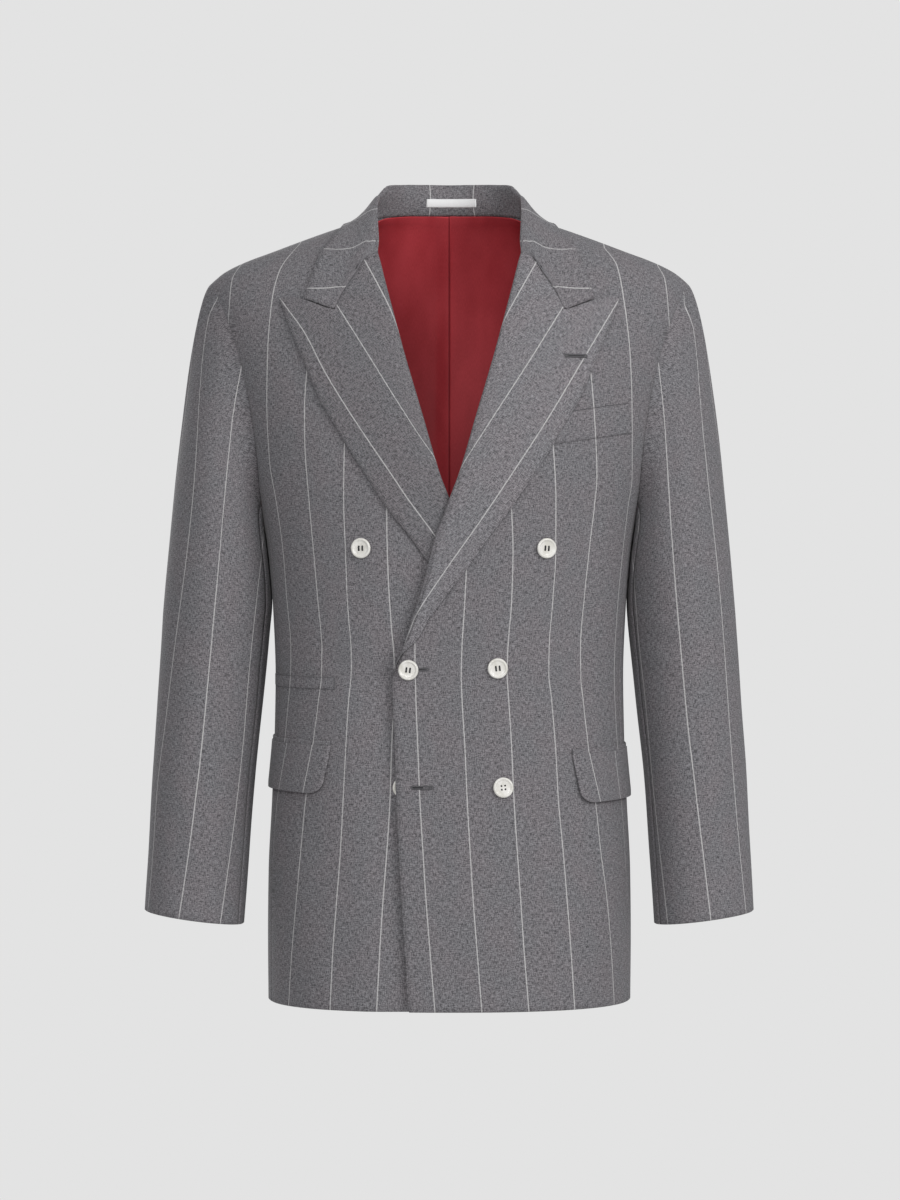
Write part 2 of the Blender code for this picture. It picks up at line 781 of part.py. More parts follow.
def sleeve_rings():
    """Rings of face points and backing points from the armhole to the cuff."""
    ring = armhole_ring()
    turns = ring_turns(ring)
    count = len(ring)
    top = ring[0].z
    bottom = CHEST_LINE
    faces = [[] for _ in HEAD_SHARES]
    first_backing = []
    for i in range(count):
        point = ring[i]
        normal = body_normal(point)
        tangent = (ring[(i + 1) % count] - ring[i - 1]).normalized()
        away = normal.cross(tangent).normalized()
        down = (point.z - top) / (bottom - top)
        turn = math.radians(SLEEVE_HEAD.at(down, "turn"))
        start, backing = seam_start(point, normal, away, turn, CLOTH, WIDE_SEAM_GAP)
        first_backing.append(backing)
        leave = away * math.cos(turn) + normal * math.sin(turn)
        end = clear_of_body(sleeve_section(turns[i], SLEEVE.keys[-1]))
        length = (end - start).length
        handle_start = start + leave * min(SLEEVE_HEAD.at(down, "reach"), length * SLEEVE_LEAVE)
        arrive = SLEEVE_ARRIVE_OVER if down < 0.5 else SLEEVE_ARRIVE_UNDER
        handle_end = end + SLEEVE_TILT * length * arrive
        for k, share in enumerate(HEAD_SHARES):
            placed = bezier(start, handle_start, handle_end, end, share)
            faces[k].append(placed if k == 0 else clear_of_body(placed))
    for level in SLEEVE_LEVELS:
        faces.append([clear_of_body(sleeve_section(turn, level)) for turn in turns])
    backings = [first_backing]
    for r in range(1, len(faces)):
        line = []
        for i in range(count):
            below = faces[min(r + 1, len(faces) - 1)][i]
            above = faces[r - 1][i]
            along = faces[r][(i + 1) % count] - faces[r][i - 1]
            normal = along.cross(below - above).normalized()
            middle = sum(faces[r], Vector()) / count
            if normal.dot(faces[r][i] - middle) < 0:
                normal.negate()
            line.append(faces[r][i] - normal * CLOTH)
        backings.append(line)
    return faces, backings


def cut_rings(rings, columns, count):
    """The listed columns of closed rings, its two ends half a seam gap in."""
    cut = []
    for ring in rings:
        points = [ring[i % count].copy() for i in columns]
        for end, inner in ((0, 1), (-1, -2)):
            towards = (ring[columns[inner] % count] - ring[columns[end] % count]).normalized()
            points[end] = points[end] + towards * SEAM_GAP / 2
        cut.append(points)
    return cut


def build_sleeves(wool):
    faces, backings = sleeve_rings()
    count = len(faces[0])
    front_seam = HIGH_ROWS + 1
    back_seam = HIGH_ROWS + SIDE_COLUMNS + 3
    upper = list(range(back_seam, count + front_seam + 1))
    lower = list(range(front_seam, back_seam + 1))
    for name, columns in (("sleeve_top", upper), ("sleeve_under", lower)):
        face = cut_rings(faces, columns, count)
        backing = cut_rings(backings, columns, count)
        wall(name + "_left", face, backing, wool)
        wall(name + "_right", mirrored(face), mirrored(backing), wool)


# --------------------------------------------------------------------------
# Lapels
# --------------------------------------------------------------------------
def lapel_outline(row):
    """Roll-line point and outer-edge point of a lapel row, from top to foot."""
    share = row / LAPEL_ROWS
    top = LAPEL_TOP[0][1]
    peak = LAPEL_TOP[-1][1]
    foot = LAPEL_OUTER.keys[0]
    roll_height = top + (foot - LAPEL_FOOT_RISE - top) * share
    roll = (FRONT_EDGE.at(roll_height, "across"), roll_height)
    outer_height = peak + (foot - peak) * share ** LAPEL_ROW_POWER
    outer = (LAPEL_OUTER.at(outer_height, "across"), outer_height)
    return roll, outer


def lapel_columns():
    """Share across the lapel of each of its columns, from its top edge."""
    start = LAPEL_TOP[0][0]
    width = LAPEL_TOP[-1][0] - start
    return [(across - start) / width for across, _ in LAPEL_TOP]


def lapel_lift(side, share, x, z):
    lift = LAPEL_LIFT.at(share, "lift")
    if side < 0:
        cover = recess(-x, z) / OVERLAP_DEPTH
        lift += (min(lift, LAPEL_FLAT_LIFT) - lift) * smooth_step(cover * 1.6)
    return lift


def lapel_grid(side):
    """Face and backing of a lapel, lifted off the front that it lies on."""
    shares = lapel_columns()
    (roll_x, roll_z), (peak_x, peak_z) = lapel_outline(0)
    face = []
    backing = []
    for row in range(LAPEL_ROWS + 1):
        (inner_x, inner_z), (outer_x, outer_z) = lapel_outline(row)
        fade = 1 - smooth_step(LAPEL_TOP_FADE * row / LAPEL_ROWS)
        line = []
        under = []
        for share, (top_x, top_z) in zip(shares, LAPEL_TOP):
            drop = top_z - (roll_z + (peak_z - roll_z) * share)
            x = inner_x + (outer_x - inner_x) * share
            z = inner_z + (outer_z - inner_z) * share + drop * fade
            lift = lapel_lift(side, share, x, z)
            line.append(front_face(side, x, z, lift))
            under.append(front_face(side, x, z, lift - LAPEL_CLOTH))
        face.append(line)
        backing.append(under)
    return face, backing


def build_lapels(wool):
    for side, name in ((1, "lapel_left"), (-1, "lapel_right")):
        face, backing = lapel_grid(side)
        wall(name, face, backing, wool)


# --------------------------------------------------------------------------
# Collar
# --------------------------------------------------------------------------
def neck_ring():
    """Points of the neck seam from the middle of the back to the gorge."""
    points = []
    for x in BACK_NECK_COLUMNS[:-1]:
        points.append(body_point(x, BACK_NECK.at(x, "height"), back=True))
    last_row = HIGH_ROWS - (COLLAR_LAST_STATION - COLLAR_SHOULDER_STATION)
    for row in range(HIGH_ROWS, last_row, -1):
        x = row_across(edge_angle(row), row, False)
        point = body_point(x, row_height(x, row, False))
        if row == HIGH_ROWS:
            point.y = 0.0
        points.append(point)
    gorge = LAPEL_TOP[0][1] + 0.0008
    points.append(body_point(FRONT_EDGE.at(gorge, "across"), gorge))
    return points


def collar_edge(station):
    """Outer edge of the fall at a station, on the body cloth."""
    x = COLLAR.at(station, "edge_across")
    z = COLLAR.at(station, "edge_height")
    if station == COLLAR_SHOULDER_STATION:
        return Vector((x, 0.004, SHOULDER.at(x, "height")))
    return body_point(x, z, back=station < COLLAR_SHOULDER_STATION)


def off_body(point, lift):
    """A point moved out until it is at least the lift over the body cloth."""
    step = 1e-5
    for _ in range(4):
        normal = body_normal(point)
        ahead = point + normal * step
        here = body_field(*point)
        grade = (body_field(*ahead) - here) / step
        height = here / max(grade, 1.0)
        if height >= lift:
            return point
        point = point + normal * (lift - height)
    return point


def gorge_points():
    """The end of the collar: just off the top edge of the lapel, to its tip."""
    points = []
    for index in range(FALL_STEPS + 1):
        x, z = LAPEL_TOP[index]
        before = LAPEL_TOP[max(index - 1, 0)]
        after = LAPEL_TOP[index + 1]
        length = math.hypot(after[0] - before[0], after[1] - before[1])
        shift_x = -(after[1] - before[1]) / length * WIDE_SEAM_GAP
        shift_z = (after[0] - before[0]) / length * WIDE_SEAM_GAP
        share = lapel_columns()[index]
        points.append(front_face(1, x + shift_x, z + shift_z, lapel_lift(1, share, x, z)))
    return points


def collar_section(station, ring):
    """Face of the collar at a station, from its seam over the fold to its edge."""
    seam = ring[station]
    before = ring[station - 1] if station else Vector((-ring[1].x, ring[1].y, ring[1].z))
    after = ring[min(station + 1, len(ring) - 1)]
    normal = body_normal(seam)
    away = (after - before).normalized().cross(normal).normalized()
    if away.dot(NECK_AXIS - seam) < 0:
        away.negate()
    turn = math.radians(COLLAR.at(station, "turn"))
    outside, inside = seam_start(seam, normal, away, turn, COLLAR_CLOTH, WIDE_SEAM_GAP)
    upward = (away * math.cos(turn) + normal * math.sin(turn)).normalized()
    outward = Vector((seam.x, seam.y - NECK_AXIS.y, 0.0)).normalized()
    height = COLLAR.at(station, "stand")
    lean = COLLAR.at(station, "lean") - COLLAR_CLOTH
    fold = inside + Vector((0, 0, height)) - outward * lean
    edge = collar_edge(station)
    edge_normal = body_normal(edge)
    edge = edge + edge_normal * COLLAR_LIFT
    ending = gorge_points()
    if station == COLLAR_LAST_STATION:
        fold = ending[0]
    stand = []
    leave = inside + upward * height * STAND_LEAVE
    arrive = fold - outward * height * STAND_FOLD_IN - Vector((0, 0, height * STAND_FOLD_DOWN))
    for k in range(STAND_STEPS):
        stand.append(bezier(inside, leave, arrive, fold, k / STAND_STEPS))
    fall = (edge - fold).length
    slope = fold - edge
    slope = (slope - edge_normal * slope.dot(edge_normal)).normalized()
    section = []
    pull = COLLAR_GORGE_PULL.get(station, 0.0)
    leave = fold + outward * fall * FALL_BULGE + Vector((0, 0, FOLD_HEIGHT))
    for k in range(FALL_STEPS + 1):
        share = (k / FALL_STEPS) ** FALL_POWER
        point = bezier(fold, leave, edge + slope * fall * FALL_ARRIVE, edge, share)
        straight = ending[0] + (ending[-1] - ending[0]) * share
        point = point + (ending[k] - straight) * pull
        if k > 2:
            point = off_body(point, COLLAR_LIFT)
        section.append(point)
    if station == COLLAR_LAST_STATION:
        section = ending
    return outside, stand + section


def collar_grid():
    """Face and backing of the whole collar, from the right end to the left."""
    ring = neck_ring()
    seams = []
    half = []
    for station in range(len(ring)):
        outside, section = collar_section(station, ring)
        seams.append(outside)
        half.append(section)
    face = mirrored(half[:0:-1]) + half
    seams = mirrored([seams[:0:-1]])[0] + seams
    backing = []
    last = len(face) - 1
    width = len(face[0])
    for r in range(last + 1):
        line = []
        for c in range(width):
            along = face[min(r + 1, last)][c] - face[max(r - 1, 0)][c]
            up = face[r][min(c + 1, width - 1)] - face[r][max(c - 1, 0)]
            line.append(face[r][c] - along.cross(up).normalized() * COLLAR_CLOTH)
        line[0] = seams[r]
        backing.append(line)
    for r in (0, last):
        side = 1 if r else -1
        for index in range(FALL_STEPS + 1):
            lifted = face[r][STAND_STEPS + index]
            normal = body_normal(lifted)
            backing[r][STAND_STEPS + index] = lifted - normal * LAPEL_CLOTH
        backing[r][0].x = side * abs(backing[r][0].x)
    return face, backing


def build_collar(wool, white):
    face, backing = collar_grid()
    wall("collar", face, backing, wool)
    middle = len(face) // 2
    spread = BACK_NECK_COLUMNS[1]
    next_spread = BACK_NECK_COLUMNS[2]
    reach = (LABEL_WIDTH / 2 - spread) / (next_spread - spread)

    def stand_point(row, share, beyond):
        place = share * STAND_STEPS
        low = int(place)
        part = place - low
        here = face[row][low].lerp(face[row][low + 1], part)
        if beyond:
            outer = face[row + beyond][low].lerp(face[row + beyond][low + 1], part)
            here = here.lerp(outer, reach)
        return here
    front = []
    for share in (LABEL_BOTTOM_SHARE, 0.5, LABEL_TOP_SHARE):
        front.append([stand_point(middle - 1, share, -1), stand_point(middle - 1, share, 0),
                      stand_point(middle, share, 0), stand_point(middle + 1, share, 0),
                      stand_point(middle + 1, share, 1)])
    normals = grid_normals(front, lambda point, r, c: Vector((0, -1, 0)))
    over = LABEL_STANDOFF + LABEL_CLOTH
    near = [[p + n * LABEL_STANDOFF for p, n in zip(*pair)] for pair in zip(front, normals)]
    far = [[p + n * over for p, n in zip(*pair)] for pair in zip(front, normals)]
    wall("label", far, near, white)


# --------------------------------------------------------------------------
# Pockets
# --------------------------------------------------------------------------
def pocket_grid(pocket, rear, shares, columns, slant, corner, lift, flare):
    """Points of a piece that lies on the body from its inner end to the rear."""
    grid = []
    for share in shares:
        into = share * pocket["height"] - (pocket["height"] - corner)
        rounding = 0.0
        if into > 0:
            rounding = corner - math.sqrt(max(0.0, corner ** 2 - into ** 2))
        inner = pocket["inner"] + slant * share + rounding
        line = []
        level = pocket["top_inner"] - pocket["height"] * share
        start = angle_of(inner, level)
        for c in range(columns + 1):
            angle = start + (rear - start) * c / columns
            part = min(1.0, (angle - start) / (math.pi / 2 - start))
            z = level + (pocket["top_side"] - pocket["top_inner"]) * part
            point = point_at(angle, z)
            line.append(point + body_normal(point) * (lift + flare * share))
        grid.append(line)
    return grid


def pocket_piece(name, pocket, rear, shares, columns, shape, lift, cloth, look):
    slant, corner, flare = shape
    far = pocket_grid(pocket, rear, shares, columns, slant, corner, lift + cloth, flare)
    near = pocket_grid(pocket, rear, shares, columns, slant, corner, lift, flare)
    if pocket["side"] < 0:
        far = mirrored(far)
        near = mirrored(near)
    wall(name, far, near, look)


def build_pockets(wool):
    for pocket, name in ((LEFT_FLAP, "left"), (RIGHT_FLAP, "right")):
        pocket_piece("flap_" + name, pocket, FLAP_REAR, FLAP_SHARES, POCKET_STEPS,
                     (FLAP_SLANT, FLAP_CORNER, FLAP_FLARE), PATCH_LIFT, FLAP_CLOTH, wool)
        jet = dict(pocket)
        jet["height"] = JET_HEIGHT
        for edge in ("top_inner", "top_side"):
            jet[edge] += JET_HEIGHT + SEAM_GAP
        pocket_piece("jet_" + name, jet, FLAP_REAR, EDGE_SHARES, POCKET_STEPS,
                     (0.0, 0.0, 0.0), PATCH_LIFT, WELT_CLOTH, wool)
    pocket_piece("ticket_welt", TICKET_WELT, TICKET_REAR, EDGE_SHARES, POCKET_STEPS,
                 (0.0, 0.0, 0.0), PATCH_LIFT, WELT_CLOTH, wool)
    near = []
    far = []
    for rise_share in EDGE_SHARES:
        low_line = []
        high_line = []
        for c in range(BREAST_STEPS + 1):
            share = c / BREAST_STEPS
            x = BREAST_INNER[0] + (BREAST_OUTER[0] - BREAST_INNER[0]) * share
            z = BREAST_INNER[1] + (BREAST_OUTER[1] - BREAST_INNER[1]) * share
            z += BREAST_HEIGHT * rise_share
            x -= BREAST_LEAN * rise_share
            low_line.append(front_face(1, x, z, PATCH_LIFT))
            high_line.append(front_face(1, x, z, PATCH_LIFT + WELT_CLOTH))
        near.append(low_line)
        far.append(high_line)
    wall("breast_welt", far, near, wool)


# --------------------------------------------------------------------------
# Back lining
# --------------------------------------------------------------------------
def build_lining(red):
    """Lining of the back, from the neck seam to the hem, with a middle pleat."""
    shares = [column / SHOULDER_POINT for column in LINING_COLUMNS]
    columns = [-share for share in reversed(shares)] + [-LINING_MIDDLE, LINING_MIDDLE] + shares
    outer = []
    inner = []
    levels = [("low", z) for z in LINING_LOW_LEVELS]
    levels += [("high", row) for row in LINING_HIGH_ROWS]
    for kind, value in levels:
        if kind == "low":
            reach = across_at(SIDE_SEAM_BACK, value) * LINING_REACH
        else:
            reach = row_across(armhole_angle(value, True), value, True) * LINING_REACH
        outer_line = []
        inner_line = []
        for share in columns:
            x = share * reach
            z = value if kind == "low" else row_height(x, value, True)
            point = body_point(x, z, back=True)
            pleat = LINING_PLEAT * smooth_step((x + LINING_PLEAT_WIDTH) / LINING_PLEAT_WIDTH)
            if x > 0:
                pleat = 0.0
            sink = LINING_SINK
            if kind == "high" and value == HIGH_ROWS:
                point.y = max(point.y, LINING_RIDGE_DEPTH)
                beyond_neck = smooth_step((abs(x) - NECK_POINT) / LINING_NECK_BLEND + 1.0)
                sink = LINING_TOP_SINK + (LINING_SINK - LINING_TOP_SINK) * beyond_neck
                pleat *= LINING_PLEAT_TOP
            normal = body_normal(point)
            outer_line.append(point - normal * (sink + pleat))
            inner_line.append(point - normal * (sink + pleat + LINING_CLOTH))
        outer.append(outer_line)
        inner.append(inner_line)
    wall("back_lining", inner, outer, red)


# --------------------------------------------------------------------------
# Buttons
# --------------------------------------------------------------------------
def button_mesh():
    """A round button with a raised rim, its back on z = 0."""
    bm = bmesh.new()
    rings = []
    for radius, height in BUTTON_PROFILE:
        if radius == 0.0:
            rings.append([bm.verts.new((0, 0, height))])
            continue
        ring = []
        for k in range(BUTTON_SIDES):
            angle = 2 * math.pi * k / BUTTON_SIDES
            ring.append(bm.verts.new((radius * math.cos(angle), radius * math.sin(angle), height)))
        rings.append(ring)
    for low, high in zip(rings, rings[1:]):
        for k in range(BUTTON_SIDES):
            after = (k + 1) % BUTTON_SIDES
            corners = [low[k % len(low)], low[after % len(low)],
                       high[after % len(high)], high[k % len(high)]]
            bm.faces.new(list(dict.fromkeys(corners)))
    bmesh.ops.recalc_face_normals(bm, faces=bm.faces)
    mesh = bpy.data.meshes.new("button")
    bm.to_mesh(mesh)
    bm.free()
    return mesh


def hole_mesh():
    """Four pins that cut the holes of a button."""
    bm = bmesh.new()
    for side_x in (-1, 1):
        for side_z in (-1, 1):
            shift = Matrix.Translation((side_x * BUTTON_HOLE_SPREAD, side_z * BUTTON_HOLE_SPREAD,
                                        BUTTON_PIN_MIDDLE))
            bmesh.ops.create_cone(bm, cap_ends=True, segments=BUTTON_PIN_SIDES,
                                  radius1=BUTTON_HOLE_RADIUS, radius2=BUTTON_HOLE_RADIUS,
                                  depth=BUTTON_PIN_LENGTH, matrix=shift)
    mesh = bpy.data.meshes.new("button_holes")
    bm.to_mesh(mesh)
    bm.free()
    return mesh


def build_buttons(pearl):
    holes = hole_mesh()
    for name, x, z, carrier in BUTTONS:
        point = body_point(x, z)
        normal = body_normal(point)
        if carrier == "under":
            point = sunk(point)
        upright = Vector((0, 0, 1))
        across = upright.cross(normal).normalized()
        upright = normal.cross(across)
        turn = Matrix((across, upright, normal)).transposed().to_4x4()
        place = Matrix.Translation(point + normal * BUTTON_STANDOFF) @ turn
        button = add_object(name, button_mesh(), pearl)
        button.matrix_world = place
        cutter = bpy.data.objects.new(name + "_holes", holes)
        bpy.context.scene.collection.objects.link(cutter)
        cutter.matrix_world = place
        cutter.hide_render = True
        cutter.display_type = "WIRE"
        cut = button.modifiers.new("holes", "BOOLEAN")
        cut.operation = "DIFFERENCE"
        cut.object = cutter


def main():
    for made in list(bpy.data.objects):
        bpy.data.objects.remove(made)
    wool = material("wool_cloth", WOOL, 0.85)
    red = material("red_lining", LINING, 0.45)
    pearl = material("pearl_button", PEARL, 0.25)
    white = material("white_label", LABEL_WHITE, 0.6)
    build_body(wool)
    build_sleeves(wool)
    build_lapels(wool)
    build_collar(wool, white)
    build_pockets(wool)
    build_lining(red)
    build_buttons(pearl)


main()
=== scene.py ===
import math

import bpy
import bmesh
from mathutils import Matrix, Vector


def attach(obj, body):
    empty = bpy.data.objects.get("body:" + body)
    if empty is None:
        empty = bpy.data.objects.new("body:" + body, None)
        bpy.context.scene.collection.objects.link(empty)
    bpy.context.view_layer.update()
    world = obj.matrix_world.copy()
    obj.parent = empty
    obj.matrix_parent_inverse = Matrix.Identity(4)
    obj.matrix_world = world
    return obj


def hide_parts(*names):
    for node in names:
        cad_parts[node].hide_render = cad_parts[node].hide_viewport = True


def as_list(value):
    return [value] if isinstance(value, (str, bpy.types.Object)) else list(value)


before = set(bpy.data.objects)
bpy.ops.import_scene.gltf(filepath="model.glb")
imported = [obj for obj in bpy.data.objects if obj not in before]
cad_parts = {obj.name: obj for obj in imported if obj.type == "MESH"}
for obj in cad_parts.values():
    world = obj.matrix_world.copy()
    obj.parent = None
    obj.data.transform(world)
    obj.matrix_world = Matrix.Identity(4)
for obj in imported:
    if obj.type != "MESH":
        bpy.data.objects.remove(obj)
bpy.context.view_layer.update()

# --------------------------------------------------------------------------
# Sizes, in metres, as in the solids
# --------------------------------------------------------------------------
CLOTH = 0.0021
LAPEL_CLOTH = 0.0020
COLLAR_CLOTH = 0.0021
SEAM_GAP = -0.0004              # pieces tuck under each other at the seams
CHEST_LINE = -0.302
NOTCH_LINE = -0.260
HEM = -0.764
SIDE_SEAM_FRONT = math.radians(75)
SIDE_SEAM_BACK = math.radians(105)
FRONT_ROUNDNESS = 2.4
BACK_ROUNDNESS = 2.6
NECK_POINT = 0.0785
OVERLAP_DEPTH = 0.0070
OVERLAP_RAMP = 0.045
ARMHOLE_CURVE = 2.2
SIDE_BEND = -0.389
STRIPE_PITCH = 0.046
ANCHOR_REACH = 0.060
BEFORE_NEXT = 0.94              # no stripe shows before the next one of its table
SIDE_FIRST = 0.35               # the stripe counts at the seams of the sides and back
BACK_FIRST = 0.5
SMALLEST_CUT = 0.0100           # a narrower piece has its edges turned under
SMALLEST_FILL = 0.3             # the least share of its flat size that a cut fills
ROLL_TOP = -0.0440              # the roll line runs between these heights
ROLL_FOOT = -0.4450
ROLL_TOP_FADE = (-0.050, -0.038)
ROLL_INSET = 0.0030             # a front stops short of its lapel's fold by this much
HEM_FACING = 0.035              # wool inside, above the hem and behind the front edge
FRONT_FACING = 0.085
CUFF_FACING_ROWS = 5
SEAM_DEPTH = 0.0005             # the groove that a seam makes
FAR_FROM_SEAM = 9
# How far the turned edges of the pieces stand out.
EDGE_BULGE = 0.0009
LAPEL_BULGE = 0.0008
POCKET_BULGE = 0.0006
LINING_BULGE = 0.0004
THIN_BULGE = 0.0003

# How finely the cloth is divided.
LOW_ROWS = 92
HIGH_ROWS = 36
FRONT_COLUMNS = 64
BACK_COLUMNS = 44
SIDE_COLUMNS = 18
HEAD_RINGS = 26
ARM_RINGS = 54
LAPEL_ROWS = 96
LAPEL_STEPS = 40
LAPEL_WRAP = 6                  # the columns that turn round the front's edge
LAPEL_PLACES = 10               # places along the top edge, as in the tables
NOTCH_PLACE = 6
BACK_STATION = 5                # the collar's stations end behind the neck point,
GORGE_STATION = 9               # and at the gorge
COLLAR_HALF = 52
LABEL_ROWS = 6
LABEL_COLUMNS = 24
BREAST_ROWS = 14
BREAST_COLUMNS = 40
LINING_ROWS = 56
LINING_HALF = 60
BISECTIONS = 36


class Table:
    """Rows of named columns, read between rows along a smooth curve."""

    def __init__(self, columns, rows):
        self.columns = {name: i for i, name in enumerate(columns)}
        self.rows = sorted(rows)
        self.keys = [row[0] for row in self.rows]

    def at(self, key, name):
        column = self.columns[name]
        keys = self.keys
        if key <= keys[0]:
            return self.rows[0][column]
        if key >= keys[-1]:
            return self.rows[-1][column]
        low = 0
        while keys[low + 1] < key:
            low += 1
        step = keys[low + 1] - keys[low]
        share = (key - keys[low]) / step
        leave = self._slope(low, column) * step
        arrive = self._slope(low + 1, column) * step
        square = share * share
        cube = square * share
        return (self.rows[low][column] * (2 * cube - 3 * square + 1)
                + leave * (cube - 2 * square + share)
                + self.rows[low + 1][column] * (3 * square - 2 * cube)
                + arrive * (cube - square))

    def _slope(self, index, column):
        def grade(low):
            change = self.rows[low + 1][column] - self.rows[low][column]
            return change / (self.keys[low + 1] - self.keys[low])
        last = len(self.rows) - 1
        if index == 0:
            return grade(0)
        if index == last:
            return grade(last - 1)
        before = grade(index - 1)
        after = grade(index)
        if before * after <= 0:
            return 0.0
        return 2 * before * after / (before + after)


BODY = Table(
    ("height", "half_width", "front", "back"), (
        (-0.764, 0.1769, 0.139, 0.138), (-0.700, 0.1774, 0.137, 0.134),
        (-0.640, 0.1768, 0.134, 0.128), (-0.572, 0.1735, 0.130, 0.118),
        (-0.510, 0.1710, 0.127, 0.109), (-0.450, 0.1700, 0.125, 0.104),
        (-0.389, 0.1722, 0.126, 0.107), (-0.336, 0.1765, 0.128, 0.114),
        (-0.302, 0.1815, 0.129, 0.119), (-0.260, 0.1905, 0.130, 0.124),
        (-0.190, 0.2045, 0.129, 0.130), (-0.134, 0.2185, 0.126, 0.133),
        (-0.067, 0.2375, 0.121, 0.134), (0.040, 0.2560, 0.116, 0.134),
    ))
SHOULDER = Table(
    ("across", "height"), (
        (-0.045, 0.014), (0.000, 0.024), (0.045, 0.014), (0.0785, -0.003), (0.098, -0.0093),
        (0.119, -0.0163), (0.147, -0.0263), (0.173, -0.0360), (0.197, -0.0448),
        (0.2187, -0.0552), (0.2336, -0.0670), (0.2600, -0.0950),
    ))
BACK_NECK = Table(
    ("across", "height"), (
        (0.000, 0.0070), (0.040, 0.0058), (0.060, 0.0030), (0.0785, -0.0030),
    ))
ARMHOLE = Table(
    ("height", "front", "back"), (
        (-0.2600, 0.1851, 0.1846), (-0.2250, 0.1880, 0.1880), (-0.1900, 0.1932, 0.1935),
        (-0.1340, 0.2062, 0.2060), (-0.0880, 0.2237, 0.2237), (-0.0670, 0.2336, 0.2336),
    ))
FRONT_EDGE = Table(
    ("height", "across"), (
        (-0.7640, -0.0381), (-0.6028, -0.0479), (-0.5641, -0.0497), (-0.5226, -0.0510),
        (-0.4980, -0.0522), (-0.4702, -0.0536), (-0.4456, -0.0530), (-0.4250, -0.0448),
        (-0.3940, -0.0353), (-0.3660, -0.0261), (-0.3370, -0.0188), (-0.3150, -0.0130),
        (-0.2970, -0.0058), (-0.2780, 0.0008), (-0.2570, 0.0088), (-0.1990, 0.0258),
        (-0.1420, 0.0425), (-0.1110, 0.0508), (-0.0770, 0.0597), (-0.0440, 0.0682),
        (-0.0300, 0.0735), (-0.0120, 0.0775), (-0.0030, 0.0785),
    ))
SLEEVE = Table(
    ("height", "across", "forward", "half_width", "half_depth"), (
        (-0.6829, 0.2475, -0.030, 0.0482, 0.0490), (-0.6210, 0.2440, -0.019, 0.0488, 0.0540),
        (-0.5430, 0.2396, -0.008, 0.0500, 0.0605), (-0.4740, 0.2340, -0.001, 0.0516, 0.0660),
        (-0.3890, 0.2274, 0.003, 0.0532, 0.0705),
    ))
CUFF_SLANT = 0.136
HEAD_SPREAD = 1.25              # the head's rings lie closer at the armhole
HEAD_REACH = 0.40
HEAD_ARRIVE = (0.62, 0.42)      # above and below the middle of the armhole
SLEEVE_SEAM = -0.0003
SLEEVE_TILT = Vector((-0.085, 0.0, 1.0))
SLEEVE_CLEARANCE = 0.0012
SLEEVE_TUCK = 0.0012
SLEEVE_HEAD = Table(
    ("down", "turn", "reach"), (
        (0.00, 8.0, 0.018), (0.15, 26.0, 0.024), (0.35, 48.0, 0.030), (0.60, 72.0, 0.032),
        (0.80, 108.0, 0.028), (0.93, 150.0, 0.022), (1.00, 180.0, 0.018),
    ))
# The lapel's top edge by place along it: the gorge seam, then the notch and peak.
GORGE = Table(
    ("place", "across", "height"), (
        (0, 0.0682, -0.0440), (1, 0.0762, -0.0492), (2, 0.0830, -0.0560), (3, 0.0888, -0.0664),
        (4, 0.0956, -0.0768), (5, 0.1014, -0.0864), (6, 0.1085, -0.1012),
    ))
PEAK = Table(
    ("place", "across", "height"), (
        (6, 0.1085, -0.1012), (7, 0.1230, -0.0953), (8, 0.1375, -0.0895),
        (9, 0.1500, -0.0862), (10, 0.1618, -0.0874),
    ))
LAPEL_OUTER = Table(
    ("height", "across"), (
        (-0.4440, -0.0514), (-0.4330, -0.0490), (-0.4224, -0.0400), (-0.4150, -0.0318),
        (-0.3930, -0.0188), (-0.3716, -0.0030), (-0.3470, 0.0158), (-0.3140, 0.0388),
        (-0.2890, 0.0584), (-0.2567, 0.0793), (-0.2350, 0.0936), (-0.2165, 0.1044),
        (-0.1860, 0.1222), (-0.1440, 0.1400), (-0.1070, 0.1555), (-0.0874, 0.1618),
    ))
LAPEL_LIFT = Table(
    ("share", "lift"), (
        (0.00, 0.0030), (0.08, 0.0050), (0.22, 0.0061), (0.55, 0.0050), (1.00, 0.0038),
    ))
LAPEL_FLAT_LIFT = 0.0034
ROLL_THICKNESS = 0.0034
ROLL_RADIUS = 0.0029
NOTCH_OPENING = 0.0012
NOTCH_FADES = ((6.0, 6.6), (8.4, 9.4))
LAPEL_NARROWEST = 0.0015
ROLL_RISE = 0.0006
EDGE_PRESS = 0.0005             # the outer edge is pressed flatter, within this width
EDGE_PRESS_WIDTH = 0.004
WRAP_START = -80                # degrees
WRAP_TURN = 170
COLLAR = Table(
    ("station", "stand", "lean", "edge_across", "edge_height", "turn"), (
        (0, 0.0310, 0.0030, 0.0000, -0.0070, 12.0), (1, 0.0314, 0.0035, 0.0240, -0.0072, 14.0),
        (2, 0.0311, 0.0055, 0.0490, -0.0078, 22.0), (3, 0.0312, 0.0080, 0.0700, -0.0088, 35.0),
        (4, 0.0316, 0.0090, 0.0885, -0.0100, 55.0), (5, 0.0222, 0.0088, 0.0990, -0.0096, 75.0),
        (6, 0.0140, 0.0088, 0.1045, -0.0160, 85.0), (7, 0.0100, 0.0088, 0.1120, -0.0285, 95.0),
        (8, 0.0065, 0.0060, 0.1245, -0.0465, 100.0), (9, 0.0040, 0.0010, 0.1378, -0.0884, 80.0),
    ))
